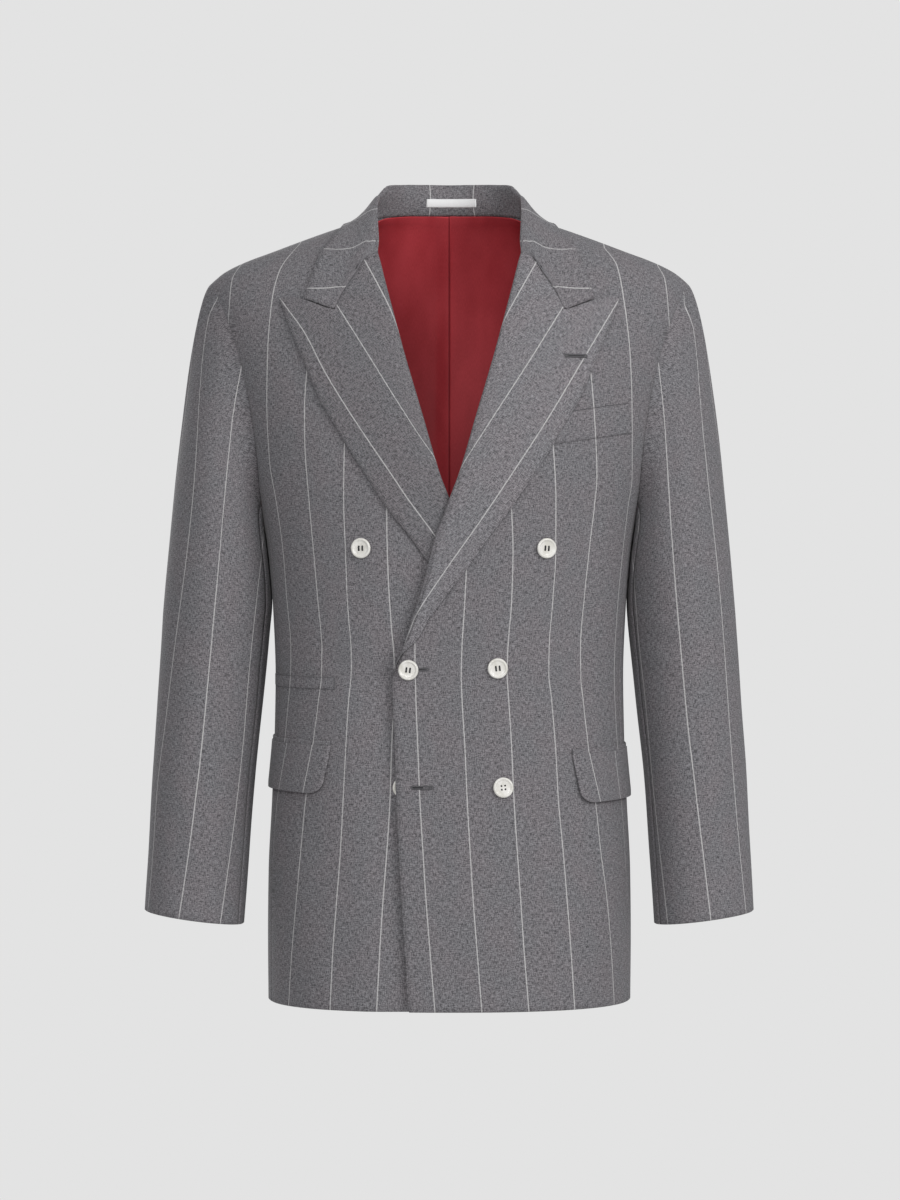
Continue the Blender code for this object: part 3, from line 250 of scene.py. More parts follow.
# The neck seam by station: from the middle of the back to the gorge.
NECK_BACK = Table(
    ("station", "across"), (
        (0, 0.0), (1, 0.020), (2, 0.040), (3, 0.055), (4, 0.068), (5, NECK_POINT),
    ))
NECK_FRONT = Table(
    ("station", "height"), ((5, -0.0030), (6, -0.0064), (7, -0.0163), (8, -0.0329), (9, -0.0432)))
GORGE_PULL = Table(
    ("station", "pull"), ((6, 0.0), (7, 0.15), (8, 0.45), (9, 1.0)))
COLLAR_LIFT = Table(
    ("station", "lift"), (
        (0, 0.0030), (3.5, 0.0030), (4.6, 0.0025), (6, 0.0025), (7.5, 0.0032), (9, 0.0040),
    ))
NECK_AXIS = Vector((0.0, 0.010, 0.30))

POCKET = ("side", "inner", "top_inner", "top_side", "height")
LEFT_FLAP = dict(zip(POCKET, (1, 0.1165, -0.5229, -0.5195, 0.0465)))
RIGHT_FLAP = dict(zip(POCKET, (-1, 0.1122, -0.5150, -0.5120, 0.0455)))
TICKET_WELT = dict(zip(POCKET, (-1, 0.1085, -0.4500, -0.4475, 0.0110)))
FLAP_REAR = math.radians(101)
TICKET_REAR = math.radians(80)
BREAST_INNER = (0.0930, -0.2300)
BREAST_OUTER = (0.1750, -0.2165)
BREAST_HEIGHT = 0.0285
BREAST_LEAN = 0.0045
BUTTONS = (
    ("button_right_top", -0.0833, -0.3272, "under", True),
    ("button_left_top", 0.0917, -0.3272, "over", True),
    ("button_right_middle", -0.0387, -0.4426, "over", True),
    ("button_left_middle", 0.0455, -0.4410, "over", True),
    ("button_right_bottom", -0.0447, -0.5536, "under", True),
    ("button_left_bottom", 0.0507, -0.5536, "over", False),
)


# Stripes: height and distance across in millimetres, the wearer's left front first.
def lines(*stripes):
    def metres(row):
        return tuple(round(value / 1000, 7) for value in row)
    return [Table(("height", "across"), map(metres, rows)) for rows in stripes]


LEFT_STRIPES = lines(
    ((-764, -13.6), (-706, -18.3), (-659, -22), (-612, -25), (-565, -27.8), (-518, -29.7),
     (-471, -31.6), (-424, -32.5), (-300, -32)),
    ((-764, 30.6), (-706, 26), (-659, 22.4), (-612, 19.5), (-565, 16.8), (-518, 14.8), (-471, 12),
     (-447, 11.2), (-424, 11.8), (-376, 14.7), (-329, 16.6), (-250, 15)),
    ((-764, 75), (-706, 70.4), (-659, 67.3), (-612, 64), (-565, 61.1), (-518, 59), (-471, 56.2),
     (-447, 54.7), (-424, 55.3), (-376, 59), (-329, 60.2), (-282, 58.2), (-235, 54.4),
     (-150, 47)),
    ((-764, 118.8), (-708, 115.2), (-661, 111.6), (-613, 107.8), (-566, 103.4), (-519, 101),
     (-471, 97.2), (-445, 94.5), (-424, 94.7), (-376, 98.3), (-329, 101), (-282, 101),
     (-232, 98.5), (-180, 94), (-100, 86), (-30, 80)),
    ((-764, 158.2), (-711, 155), (-663, 150.8), (-615, 144.4), (-567, 139.3), (-520, 133),
     (-472, 127.4), (-448, 125), (-424, 124.8), (-376, 128.2), (-329, 133.1), (-281, 138.7),
     (-257, 140.6), (-210, 138.6), (-165, 135.3), (-138, 132.1), (-90, 125), (-45, 113),
     (-20, 100)),
    ((-764, 174.2), (-667, 172.1), (-618, 169.8), (-570, 166.3), (-521, 162.5), (-473, 159.7),
     (-448, 159), (-424, 159.7), (-376, 162.8), (-328, 167.5), (-280, 173), (-261, 175.8),
     (-185, 175.1), (-141, 173.4), (-88, 167.8), (-53, 162), (-34, 150.4)),
    ((-141, 217.2), (-110, 213.4), (-65, 209.5), (-50.6, 203.3)),
)
RIGHT_STRIPES = lines(
    ((-764, 68.6), (-706, 65.6), (-659, 62.6), (-612, 59), (-565, 56.2), (-518, 54.8),
     (-471, 52.8), (-437, 52.4), (-400, 55.1), (-353, 58), (-300, 59.2), (-200, 58)),
    ((-764, 113), (-708, 110.3), (-661, 106.8), (-613, 103.2), (-566, 100.8), (-519, 98.5),
     (-471, 95.7), (-439, 93.1), (-424, 93.4), (-376, 97), (-331, 98.6), (-282, 100.3),
     (-228, 99.4), (-150, 95)),
    ((-764, 154), (-711, 150.5), (-663, 146.2), (-615, 141.7), (-567, 137.2), (-519, 130.8),
     (-472, 124.6), (-445, 121.6), (-424, 121.3), (-376, 125.2), (-329, 129.4), (-281, 133.6),
     (-224, 137.6), (-191, 137.8), (-158, 135.7), (-100, 129), (-50, 118), (-20, 105)),
    ((-764, 175.2), (-680, 173.5), (-618, 170.7), (-570, 166.4), (-521, 159.6), (-473, 154.8),
     (-448, 152.6), (-424, 152.2), (-376, 156.2), (-328, 160), (-280, 166.6), (-245, 172.5),
     (-189, 175.1), (-138, 174.3), (-88, 170.6), (-59, 164.3), (-29, 144.7)),
    ((-141, 218.9), (-103, 214.3), (-65, 211.3), (-48, 202.8)),
)
LEFT_LAPEL_STRIPES = lines(
    ((-150, 31), (-104.7, 54.7), (-58.7, 80), (-30, 95.8)),
    ((-330, -40), (-236.8, 19.8), (-202.7, 41.7), (-149.9, 75.7), (-102.4, 105), (-70, 125)),
    ((-430, -49), (-404.6, -37.6), (-391.4, -31.8), (-355.6, -8.7), (-298.1, 31.7),
     (-263.1, 55.2), (-206.1, 92.3), (-145.2, 128.6), (-94.6, 158.7)),
)
RIGHT_LAPEL_STRIPES = lines(
    ((-160, 32), (-116.4, 49), (-99.8, 56), (-75, 68.3), (-51.6, 80.8), (-30, 92)),
    ((-330, -45), (-248.1, 8.9), (-224.5, 25.8), (-185.5, 51), (-144.1, 76.6), (-100, 104.2),
     (-70, 123)),
    ((-430, -62), (-316.4, 13), (-279.2, 40.4), (-258.4, 54.3), (-226.1, 76.3), (-186.9, 101.9),
     (-157.9, 119.2), (-120.7, 138.4), (-94.6, 157)),
)
LEFT_SLEEVE_STRIPES = lines(
    ((-690, 287), (-606, 279), (-520, 272.3), (-420, 265.5), (-338, 258.6), (-261, 250.5),
     (-196, 244.7), (-152, 242), (-113, 238.5), (-88, 229)),
    ((-690, 251.5), (-566, 237.5), (-497, 229.3), (-420, 222.3), (-338, 215.4), (-261, 210.7),
     (-196, 207.2), (-161, 203.7), (-120, 199)),
    ((-690, 210.5), (-571, 198.6), (-469, 189.5), (-415, 183.7), (-340, 178)),
)
RIGHT_SLEEVE_STRIPES = lines(
    ((-690, 292.5), (-629, 287.3), (-559, 283), (-497, 275.1), (-408, 263.6), (-338, 254.1),
     (-261, 246.5), (-231, 244.8), (-161, 241.9), (-128, 239.3), (-99, 234.4), (-82, 225.9)),
    ((-690, 260.5), (-618, 250.1), (-536, 240), (-454, 232), (-338, 221.6), (-261, 215),
     (-231, 212.2), (-193, 208.4), (-155, 202), (-120, 196)),
    ((-690, 220.5), (-606, 209.4), (-513, 199.2), (-443, 193.5), (-361, 184.9), (-323, 180.8)),
)
LEFT_FLAP_STRIPES = lines(
    ((-570, 144.8), (-567.1, 144.1), (-518.6, 133), (-510, 131.2)),
    ((-570, 165), (-556, 163.3), (-514.4, 158.5), (-505, 157.5)),
)
RIGHT_FLAP_STRIPES = lines(
    ((-565, 140.8), (-557.9, 139.4), (-514.4, 130.9), (-505, 129.2)),
    ((-565, 165.2), (-557.8, 164), (-515.3, 156.4), (-505, 154.5)),
)
# Height of three stripes on the collar's fall, by distance across.
LEAF = Table(
    ("across", "upper", "middle", "lower"), (
        (0.067, 0.0045, -0.0310, -0.0760), (0.080, 0.0015, -0.0312, -0.0762),
        (0.087, -0.0030, -0.0344, -0.0764), (0.095, -0.0060, -0.0378, -0.0765),
        (0.1055, -0.0100, -0.0386, -0.0768), (0.1185, -0.0120, -0.0375, -0.0775),
        (0.135, -0.0120, -0.0370, -0.0770),
    ))
COLLAR_PITCH = 0.048
COLLAR_MIDDLE = 3.5             # the collar's stripe count at the middle of the back
STAND_SLOWS = (4.35, 0.45)      # beyond this count the stand's stripes lie wider apart
SLIP_REACH = 0.03
LAPEL_SLANT = 0.0520            # the pitch on a lapel, measured level
COLLAR_SHIFT = 0.0028

# Soft troughs (negative) and ridges in the cloth: the two ends as distance
# across and height, width and depth.
FRONT_FOLDS = (
    ((0.060, -0.432), (0.132, -0.392), 0.0100, -0.0007),
    ((0.062, -0.448), (0.140, -0.470), 0.0110, -0.0006),
    ((-0.062, -0.470), (-0.130, -0.420), 0.0110, -0.0006),
    ((-0.070, -0.455), (-0.140, -0.500), 0.0120, -0.0006),
    ((0.170, -0.300), (0.135, -0.225), 0.0120, -0.0009),
    ((-0.170, -0.300), (-0.135, -0.225), 0.0120, -0.0010),
    ((0.150, -0.600), (0.130, -0.764), 0.0180, 0.0010),
    ((-0.148, -0.600), (-0.126, -0.764), 0.0180, 0.0011),
    ((0.060, -0.620), (0.075, -0.764), 0.0200, -0.0007),
    ((-0.085, -0.620), (-0.092, -0.764), 0.0200, -0.0008),
    ((0.196, -0.115), (0.150, -0.085), 0.0100, -0.0007),
    ((-0.196, -0.115), (-0.150, -0.085), 0.0100, -0.0007),
)
BACK_FOLDS = (
    ((0.165, -0.290), (0.095, -0.215), 0.0130, -0.0012),
    ((-0.165, -0.290), (-0.098, -0.210), 0.0130, -0.0012),
    ((0.175, -0.245), (0.120, -0.160), 0.0120, -0.0009),
    ((-0.175, -0.245), (-0.118, -0.165), 0.0120, -0.0010),
    ((0.020, -0.420), (0.130, -0.400), 0.0120, -0.0009),
    ((-0.020, -0.428), (-0.125, -0.408), 0.0120, -0.0009),
    ((0.030, -0.450), (0.120, -0.462), 0.0110, -0.0006),
    ((-0.030, -0.455), (-0.120, -0.470), 0.0110, -0.0006),
    ((0.085, -0.560), (0.095, -0.764), 0.0220, 0.0014),
    ((-0.085, -0.560), (-0.095, -0.764), 0.0220, 0.0014),
    ((0.038, -0.540), (0.045, -0.764), 0.0200, -0.0012),
    ((-0.038, -0.540), (-0.045, -0.764), 0.0200, -0.0012),
)
SLEEVE_FOLDS = (                # turn round the sleeve in degrees and height, twice
    ((150, -0.405), (75, -0.435), 0.0100, -0.0012),
    ((160, -0.440), (95, -0.455), 0.0090, -0.0010),
    ((150, -0.368), (100, -0.385), 0.0090, -0.0008),
    ((20, -0.250), (60, -0.330), 0.0140, -0.0008),
    ((105, -0.330), (70, -0.520), 0.0160, 0.0008),
    ((60, -0.560), (85, -0.680), 0.0140, -0.0008),
    ((215, -0.400), (280, -0.430), 0.0110, -0.0012),
    ((220, -0.440), (270, -0.470), 0.0100, -0.0009),
)
DART_ACROSS = 0.1215
DART_TOP = -0.340
DART_FOOT = -0.5110
DART_WIDTH = 0.0009
DART_DEPTH = 0.0004
DART_FADE = 0.03
LEFT_DART_SHARE = 0.55
BACK_SEAM_WIDTH = 0.0018
BACK_SEAM_DEPTH = 0.0005
DEGREE_ROUND = 0.0011           # a degree round the sleeve, as a length
# Where the folds fade out: towards the side seams, below the arms and at the top.
SIDE_FADE = (-0.300, -0.240)
FRONT_FADE = ((0.160, 0.176), (-0.080, -0.030))
BACK_FADE = ((0.150, 0.172), (-0.070, -0.020))


# --------------------------------------------------------------------------
# Shape of the body
# --------------------------------------------------------------------------
def smooth_step(value):
    share = min(1.0, max(0.0, value))
    return share * share * (3 - 2 * share)


def blend_at(start, end, value):
    return smooth_step((value - start) / (end - start))


def roundness(y):
    return FRONT_ROUNDNESS if y < 0 else BACK_ROUNDNESS


def rise(x, z):
    ridge = SHOULDER.at(abs(x), "height")
    return min(1.0, max(0.0, (z - CHEST_LINE) / (ridge - CHEST_LINE)))


def body_field(x, y, z):
    power = roundness(y)
    depth = BODY.at(z, "front" if y < 0 else "back")
    width = BODY.at(z, "half_width")
    ridge = SHOULDER.at(abs(x), "height")
    height = max(0.0, (z - CHEST_LINE) / (ridge - CHEST_LINE))
    across = (abs(x) / width) ** power
    return (abs(y) / depth) ** power - (1 - across) * (1 - height ** power)


NORMAL_STEP = 2e-5
ANGLE_STEP = 0.004


def body_normal(point):
    step = NORMAL_STEP
    x, y, z = point
    return Vector((
        body_field(x + step, y, z) - body_field(x - step, y, z),
        body_field(x, y + step, z) - body_field(x, y - step, z),
        body_field(x, y, z + step) - body_field(x, y, z - step),
    )).normalized()


def body_point(x, z, back=False):
    power = BACK_ROUNDNESS if back else FRONT_ROUNDNESS
    depth = BODY.at(z, "back" if back else "front")
    width = BODY.at(z, "half_width")
    across = min(1.0, (abs(x) / width) ** power)
    inside = (1 - across) * (1 - rise(x, z) ** power)
    y = depth * max(0.0, inside) ** (1 / power)
    return Vector((x, y if back else -y, z))


def angle_of(x, z):
    width = BODY.at(z, "half_width")
    share = min(1.0, abs(x) / width) ** (FRONT_ROUNDNESS / 2)
    return math.copysign(math.asin(share), x)


def across_at(angle, z):
    power = BACK_ROUNDNESS if angle > math.pi / 2 else FRONT_ROUNDNESS
    sine = math.sin(angle)
    return math.copysign(abs(sine) ** (2 / power), sine) * BODY.at(z, "half_width")


def point_at(angle, z):
    x = across_at(angle, z)
    return body_point(x, z, back=abs(angle) > math.pi / 2)


def bisect(low, high, test):
    for _ in range(BISECTIONS):
        middle = (low + high) / 2
        if test(middle) > 0:
            high = middle
        else:
            low = middle
    return (low + high) / 2


def row_height(x, row, back):
    power = BACK_ROUNDNESS if back else FRONT_ROUNDNESS
    span = SHOULDER.at(abs(x), "height") - CHEST_LINE
    top = 1.0
    if back and abs(x) < NECK_POINT:
        top = (BACK_NECK.at(abs(x), "height") - CHEST_LINE) / span
    start = math.asin(((NOTCH_LINE - CHEST_LINE) / span) ** (power / 2))
    end = math.asin(min(1.0, top) ** (power / 2))
    turn = start + (end - start) * row / HIGH_ROWS
    return CHEST_LINE + math.sin(turn) ** (2 / power) * span


def row_across(angle, row, back):
    sine = math.copysign(abs(math.sin(angle)) ** (2 / FRONT_ROUNDNESS), angle)
    x = sine * BODY.at(NOTCH_LINE, "half_width")
    for _ in range(10):
        x = sine * BODY.at(row_height(x, row, back), "half_width")
    return x


def armhole_angle(row, back):
    name = "back" if back else "front"

    def past_seam(angle):
        x = row_across(angle, row, back)
        return x - ARMHOLE.at(row_height(x, row, back), name)
    return bisect(math.radians(45), math.radians(90), past_seam)


def roll_inset(z):
    """How far the cloth of a front stops short of the fold of its lapel."""
    from_foot = blend_at(ROLL_FOOT - 0.004, ROLL_FOOT + 0.022, z)
    return ROLL_INSET * from_foot * (1 - blend_at(*ROLL_TOP_FADE, z))


def edge_across(z):
    return FRONT_EDGE.at(z, "across") + roll_inset(z)


def edge_angle(row):
    def past_edge(angle):
        x = row_across(angle, row, False)
        return x - edge_across(row_height(x, row, False))
    return bisect(math.radians(-50), math.radians(60), past_edge)


def seam_angle(z, angle, side):
    ahead = point_at(angle + ANGLE_STEP, z)
    behind = point_at(angle - ANGLE_STEP, z)
    return angle + side * SEAM_GAP / 2 * (2 * ANGLE_STEP) / (ahead - behind).length


def armhole_low(angle):
    middle = (SIDE_SEAM_FRONT + SIDE_SEAM_BACK) / 2
    half = (SIDE_SEAM_BACK - SIDE_SEAM_FRONT) / 2
    share = min(1.0, abs(angle - middle) / half)
    return CHEST_LINE + (NOTCH_LINE - CHEST_LINE) * share ** ARMHOLE_CURVE


def recess(x, z):
    distance = x - FRONT_EDGE.at(z, "across")
    return OVERLAP_DEPTH * smooth_step((distance + OVERLAP_RAMP) / OVERLAP_RAMP)


# --------------------------------------------------------------------------
# Folds of the cloth
# --------------------------------------------------------------------------
def fold_height(u, v, folds):
    total = 0.0
    for (u0, v0), (u1, v1), width, depth in folds:
        du, dv = u1 - u0, v1 - v0
        square = du * du + dv * dv
        share = ((u - u0) * du + (v - v0) * dv) / square
        near = min(1.0, max(0.0, share))
        gap = math.hypot(u - u0 - du * near, v - v0 - dv * near)
        if gap > 3 * width:
            continue
        fade = smooth_step(0.35 + 2.2 * min(near, 1 - near))
        total += depth * fade * math.exp(-(gap / width) ** 2)
    return total


def drift(x, z, seed):
    """A slow unevenness of cloth that hangs: two waves of different lengths."""
    return (0.00035 * math.sin(31 * x + 1.3 * seed) * math.sin(19 * z + 0.7 * seed)
            + 0.00022 * math.sin(57 * x + 23 * z + seed) * math.cos(37 * z - 2.1 * seed))


def relief(x, z, folds, seed, fades):
    """Height of the folds and the drift, away from the seams."""
    side_fade, top_fade = fades
    near_seam = 1 - blend_at(*side_fade, abs(x)) * (1 - blend_at(*SIDE_FADE, z))
    away_from_top = 1 - blend_at(*top_fade, z)
    return (fold_height(x, z, folds) + drift(x, z, seed)) * near_seam * away_from_top


def front_relief(x, z):
    height = relief(x, z, FRONT_FOLDS, 2.0, FRONT_FADE)
    if DART_FOOT < z < DART_TOP:
        gap = (abs(x) - DART_ACROSS) / DART_WIDTH
        depth = (1.0 if x < 0 else LEFT_DART_SHARE) * DART_DEPTH
        height -= depth * math.exp(-gap * gap) * blend_at(DART_TOP, DART_TOP - DART_FADE, z)
    return height


def back_relief(x, z):
    seam = -BACK_SEAM_DEPTH * math.exp(-(x / BACK_SEAM_WIDTH) ** 2)
    return relief(x, z, BACK_FOLDS, 5.0, BACK_FADE) + seam


def on_front(point, lift=0.0):
    """A point of the front's base surface, moved out by its folds and a lift."""
    return point + body_normal(point) * (front_relief(point.x, point.z) + lift)


def front_face(side, x, z, lift):
    point = body_point(side * x, z)
    if side < 0:
        lift -= recess(point.x, z)
    return on_front(point, lift)


# --------------------------------------------------------------------------
# Stripes and shells
# --------------------------------------------------------------------------
def arcs_of(row):
    arcs = [0.0]
    for before, after in zip(row, row[1:]):
        arcs.append(arcs[-1] + (after - before).length)
    return arcs


def stripe_marks(row, stripes, side=1, usable=None, beyond=None):
    """Where a row of points crosses the stripes: distance, stripe, other distance."""
    arcs = arcs_of(row)
    beyond = beyond or arcs
    marks = []
    for index, table in enumerate(stripes):
        for i in range(len(row) - 1):
            if usable and not usable(i):
                continue
            before = side * row[i].x - table.at(row[i].z, "across")
            after = side * row[i + 1].x - table.at(row[i + 1].z, "across")
            if (before <= 0 < after) or (after <= 0 < before):
                share = before / (before - after)
                marks.append((arcs[i] + (arcs[i + 1] - arcs[i]) * share, index,
                              beyond[i] + (beyond[i + 1] - beyond[i]) * share))
                break
    return sorted(marks)


def stripe_count(row, stripes, side=1, usable=None, beyond=None, anchor=None):
    """Stripe count along a row of points: a whole number on each stripe.

    beyond gives the distances that count before the first stripe and after
    the last, and anchor where the first stripe crosses them far from it.
    """
    marks = stripe_marks(row, stripes, side, usable, beyond)
    arcs = arcs_of(row)
    beyond = beyond or arcs
    if not marks:
        return [arc / STRIPE_PITCH for arc in beyond]
    rate = 1 if len(marks) < 2 or marks[-1][1] > marks[0][1] else -1
    slip = 0.0 if anchor is None else marks[0][2] - anchor
    counts = []
    for arc, far in zip(arcs, beyond):
        if arc <= marks[0][0]:
            away = far - marks[0][2]
            away += slip * smooth_step(-away / ANCHOR_REACH)
            counts.append(marks[0][1] + rate * away / STRIPE_PITCH)
        elif arc >= marks[-1][0]:
            count = marks[-1][1] + rate * (far - marks[-1][2]) / STRIPE_PITCH
            if usable is None and marks[-1][1] < len(stripes) - 1:
                count = min(count, marks[-1][1] + BEFORE_NEXT)
            counts.append(count)
        else:
            low = 0
            while marks[low + 1][0] < arc:
                low += 1
            share = (arc - marks[low][0]) / (marks[low + 1][0] - marks[low][0])
            counts.append(marks[low][1] + (marks[low + 1][1] - marks[low][1]) * share)
    return counts


def reach_at(table, key):
    """A table read on a straight line beyond its ends."""
    keys = table.keys
    if keys[0] <= key <= keys[-1]:
        return table.at(key, "across")
    end = 0 if key < keys[0] else -1
    inner = keys[1] if end == 0 else keys[-2]
    step = keys[end] - inner
    grade = (table.at(keys[end], "across") - table.at(inner, "across")) / step
    return table.at(keys[end], "across") + grade * (key - keys[end])


def count_at(x, z, stripes, slant):
    """Stripe count at a place, from the stripes' distances across at its height.

    slant is the pitch measured across, for the cloth beyond the outer stripes.
    """
    marks = [reach_at(table, z) for table in stripes]
    if x <= marks[0]:
        return (x - marks[0]) / slant
    for low in range(len(marks) - 1):
        if x <= marks[low + 1]:
            return low + (x - marks[low]) / (marks[low + 1] - marks[low])
    return len(marks) - 1 + (x - marks[-1]) / slant


def cloth_map(grid, counts):
    """Cloth coordinates in metres: across the stripes and along them."""
    along = [[0.0] * len(grid[0])]
    for r in range(1, len(grid)):
        along.append([v + (b - a).length for v, a, b in zip(along[-1], grid[r - 1], grid[r])])
    return [[(c * STRIPE_PITCH, v) for c, v in zip(*pair)] for pair in zip(counts, along)]


def mirrored(grid):
    return [[Vector((-p.x, p.y, p.z)) for p in row] for row in grid]


def two_grids(rows, columns, at):
    """Face and backing points, from a function of row and column that gives both."""
    pairs = [[at(r, c) for c in columns] for r in rows]
    return tuple([[pair[k] for pair in row] for row in pairs] for k in (0, 1))


def boundary(rows, columns):
    """The border of a grid once round: index, inner neighbour and edge name."""
    ring = [((0, c), (1, c), "bottom") for c in range(columns)]
    ring += [((r, columns - 1), (r, columns - 2), "right") for r in range(1, rows)]
    ring += [((rows - 1, c), (rows - 2, c), "top") for c in range(columns - 2, -1, -1)]
    ring += [((r, 0), (r, 1), "left") for r in range(rows - 2, 0, -1)]
    return ring


def shell(name, face, backing, uv, looks, free=(), inside=None, bulge=EDGE_BULGE, crisp=(),
          first=None, weave=None):
    """A closed shell of cloth with rounded free edges and its cloth map.

    inside gives the number of the backing's material from row and column,
    crisp names the edges that are not shaded as round, first is a column
    with the cloth map of the cells before it, and weave is a map for the
    threads where the stripes' own map is uneven.
    """
    weave = weave or uv
    rows = len(face)
    columns = len(face[0])
    bm = bmesh.new()
    cloth_layer = bm.loops.layers.uv.new("Cloth")
    weave_layer = bm.loops.layers.uv.new("Weave")
    front = [[bm.verts.new(p) for p in row] for row in face]
    behind = [[bm.verts.new(p) for p in row] for row in backing]

    def add(corners, spots, look, here):
        made = bm.faces.new(corners)
        made.material_index = look
        made.smooth = True
        for loop, (a, b) in zip(made.loops, spots):
            loop[cloth_layer].uv = here[a][b]
            loop[weave_layer].uv = weave[a][b]
    for r in range(rows - 1):
        for c in range(columns - 1):
            spots = [(r, c), (r, c + 1), (r + 1, c + 1), (r + 1, c)]
            here = first[1] if first and c < first[0] else uv
            add([front[a][b] for a, b in spots], spots, 0, here)
            look = inside(r, c) if inside else 0
            if min(c, columns - 2 - c, rows - 2 - r) < 2:
                look = 0
            spots.reverse()
            add([behind[a][b] for a, b in spots], spots, look, here)
    ring = boundary(rows, columns)
    rims = []
    for (r, c), (ir, ic), edge in ring:
        middle = (face[r][c] + backing[r][c]) / 2
        out = (face[r][c] - face[ir][ic]).normalized()
        corner = r in (0, rows - 1) and c in (0, columns - 1)
        turned = edge in free or (corner and "corner" in free)
        rims.append(bm.verts.new(middle + out * (bulge if turned else 0.0)))
    for i, ((r, c), _, _) in enumerate(ring):
        after = (i + 1) % len(ring)
        nr, nc = ring[after][0]
        spots = [(r, c), (r, c), (nr, nc), (nr, nc)]
        add([front[r][c], rims[i], rims[after], front[nr][nc]], spots, 0, uv)
        add([rims[i], behind[r][c], behind[nr][nc], rims[after]], spots, 0, uv)
        if ring[i][2] in crisp or ring[after][2] in crisp:
            bm.edges.get((front[r][c], front[nr][nc])).smooth = False
    bmesh.ops.recalc_face_normals(bm, faces=bm.faces)
    return mesh_object(bm, name, looks)


def mesh_object(bm, name, looks):
    mesh = bpy.data.meshes.new(name)
    bm.to_mesh(mesh)
    bm.free()
    for look in looks:
        mesh.materials.append(look)
    made = bpy.data.objects.new(name, mesh)
    bpy.context.scene.collection.objects.link(made)
    return made


def flat_cut(face):
    """Width, length and area of the flat cloth for a grid of face points."""
    area = 0.0
    for low, high in zip(face, face[1:]):
        for c in range(len(low) - 1):
            area += (high[c + 1] - low[c]).cross(high[c] - low[c + 1]).length / 2
    width = max(arcs_of(row)[-1] for row in face)
    length = max(arcs_of(column)[-1] for column in zip(*face))
    area = min(area, width * length)
    length = max(length, SMALLEST_CUT)
    return width, length, max(area, SMALLEST_FILL * width * length)


def place(piece, node, slot, hang=None):
    """Puts a piece on the frame in place of its node, and measures its flat cut."""
    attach(piece, "root")
    if node:
        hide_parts(node)
    if hang:
        face, rests = hang
        width, length, area = flat_cut(face)
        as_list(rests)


def bezier(start, leave, arrive, end, share):
    rest = 1 - share
    return (start * rest ** 3 + leave * (3 * rest * rest * share)
            + arrive * (3 * rest * share * share) + end * share ** 3)


def seam_start(point, normal, away, turn, thickness, gap):
    half = turn / 2
    face = point + (away * math.cos(half) + normal * math.sin(half)) * gap
    backing = face + (away * math.sin(turn) - normal * math.cos(turn)) * thickness
    return face, backing


# --------------------------------------------------------------------------
# Materials
# --------------------------------------------------------------------------
class Nodes:
    """Short calls for building one material."""

    def __init__(self, name):
        self.material = bpy.data.materials.new(name)
        self.material.use_nodes = True
        self.tree = self.material.node_tree
        self.shader = self.tree.nodes["Principled BSDF"]

    def link(self, source, target):
        if isinstance(source, (int, float)):
            target.default_value = source
        else:
            self.tree.links.new(source, target)

    def node(self, kind, **settings):
        made = self.tree.nodes.new(kind)
        for key, value in settings.items():
            setattr(made, key, value)
        return made

    def math(self, operation, a, b=0.0, c=None, clamp=False):
        made = self.node("ShaderNodeMath", operation=operation, use_clamp=clamp)
        self.link(a, made.inputs[0])
        self.link(b, made.inputs[1])
        if c is not None:
            self.link(c, made.inputs[2])
        return made.outputs[0]

    def times(self, a, b):
        return self.math("MULTIPLY", a, b)

    def plus(self, a, b):
        return self.math("ADD", a, b)

    def vector(self, x, y, z=0.0):
        made = self.node("ShaderNodeCombineXYZ")
        for value, target in zip((x, y, z), made.inputs):
            self.link(value, target)
        return made.outputs[0]

    def place_on(self, cloth_map):
        split = self.node("ShaderNodeSeparateXYZ")
        self.link(self.node("ShaderNodeUVMap", uv_map=cloth_map).outputs[0], split.inputs[0])
        return split.outputs[0], split.outputs[1]

    def noise(self, place, scale, detail=2.0, rough=0.5):
        made = self.node("ShaderNodeTexNoise")
        self.link(place, made.inputs["Vector"])
        made.inputs["Scale"].default_value = scale
        made.inputs["Detail"].default_value = detail
        made.inputs["Roughness"].default_value = rough
        return made.outputs["Fac"]

    def threads(self, place, scale, detail=2.0, rough=0.5):
        """Noise on a cloth map, with its own scale across and along."""
        where = self.vector(*(self.times(part, size) for part, size in zip(place, scale)))
        return self.noise(where, 1.0, detail, rough)

    def twill(self, place, scale):
        across, along = (self.times(part, size) for part, size in zip(place, scale))
        return self.math("SINE", self.plus(across, along))

    def ramp(self, value, start, end, low, high):
        made = self.node("ShaderNodeMapRange", interpolation_type="SMOOTHSTEP")
        self.link(value, made.inputs["Value"])
        limits = {"From Min": start, "From Max": end, "To Min": low, "To Max": high}
        for name, number in limits.items():
            made.inputs[name].default_value = number
        return made.outputs["Result"]

    def mix(self, share, low, high, blend="MIX"):
        made = self.node("ShaderNodeMix", data_type="RGBA", blend_type=blend)
        self.link(share, made.inputs[0])
        for value, target in ((low, made.inputs[6]), (high, made.inputs[7])):
            if isinstance(value, tuple):
                target.default_value = (*value, 1.0)
            else:
                self.tree.links.new(value, target)
        return made.outputs[2]

    def bump(self, height, strength, distance):
        made = self.node("ShaderNodeBump")
        made.inputs["Strength"].default_value = strength
        made.inputs["Distance"].default_value = distance
        self.link(height, made.inputs["Height"])
        return made.outputs[0]

    def surface(self, inputs):
        """Sets or links the shader's inputs and gives the finished material."""
        for name, source in inputs.items():
            self.link(source, self.shader.inputs[name])
        return self.material


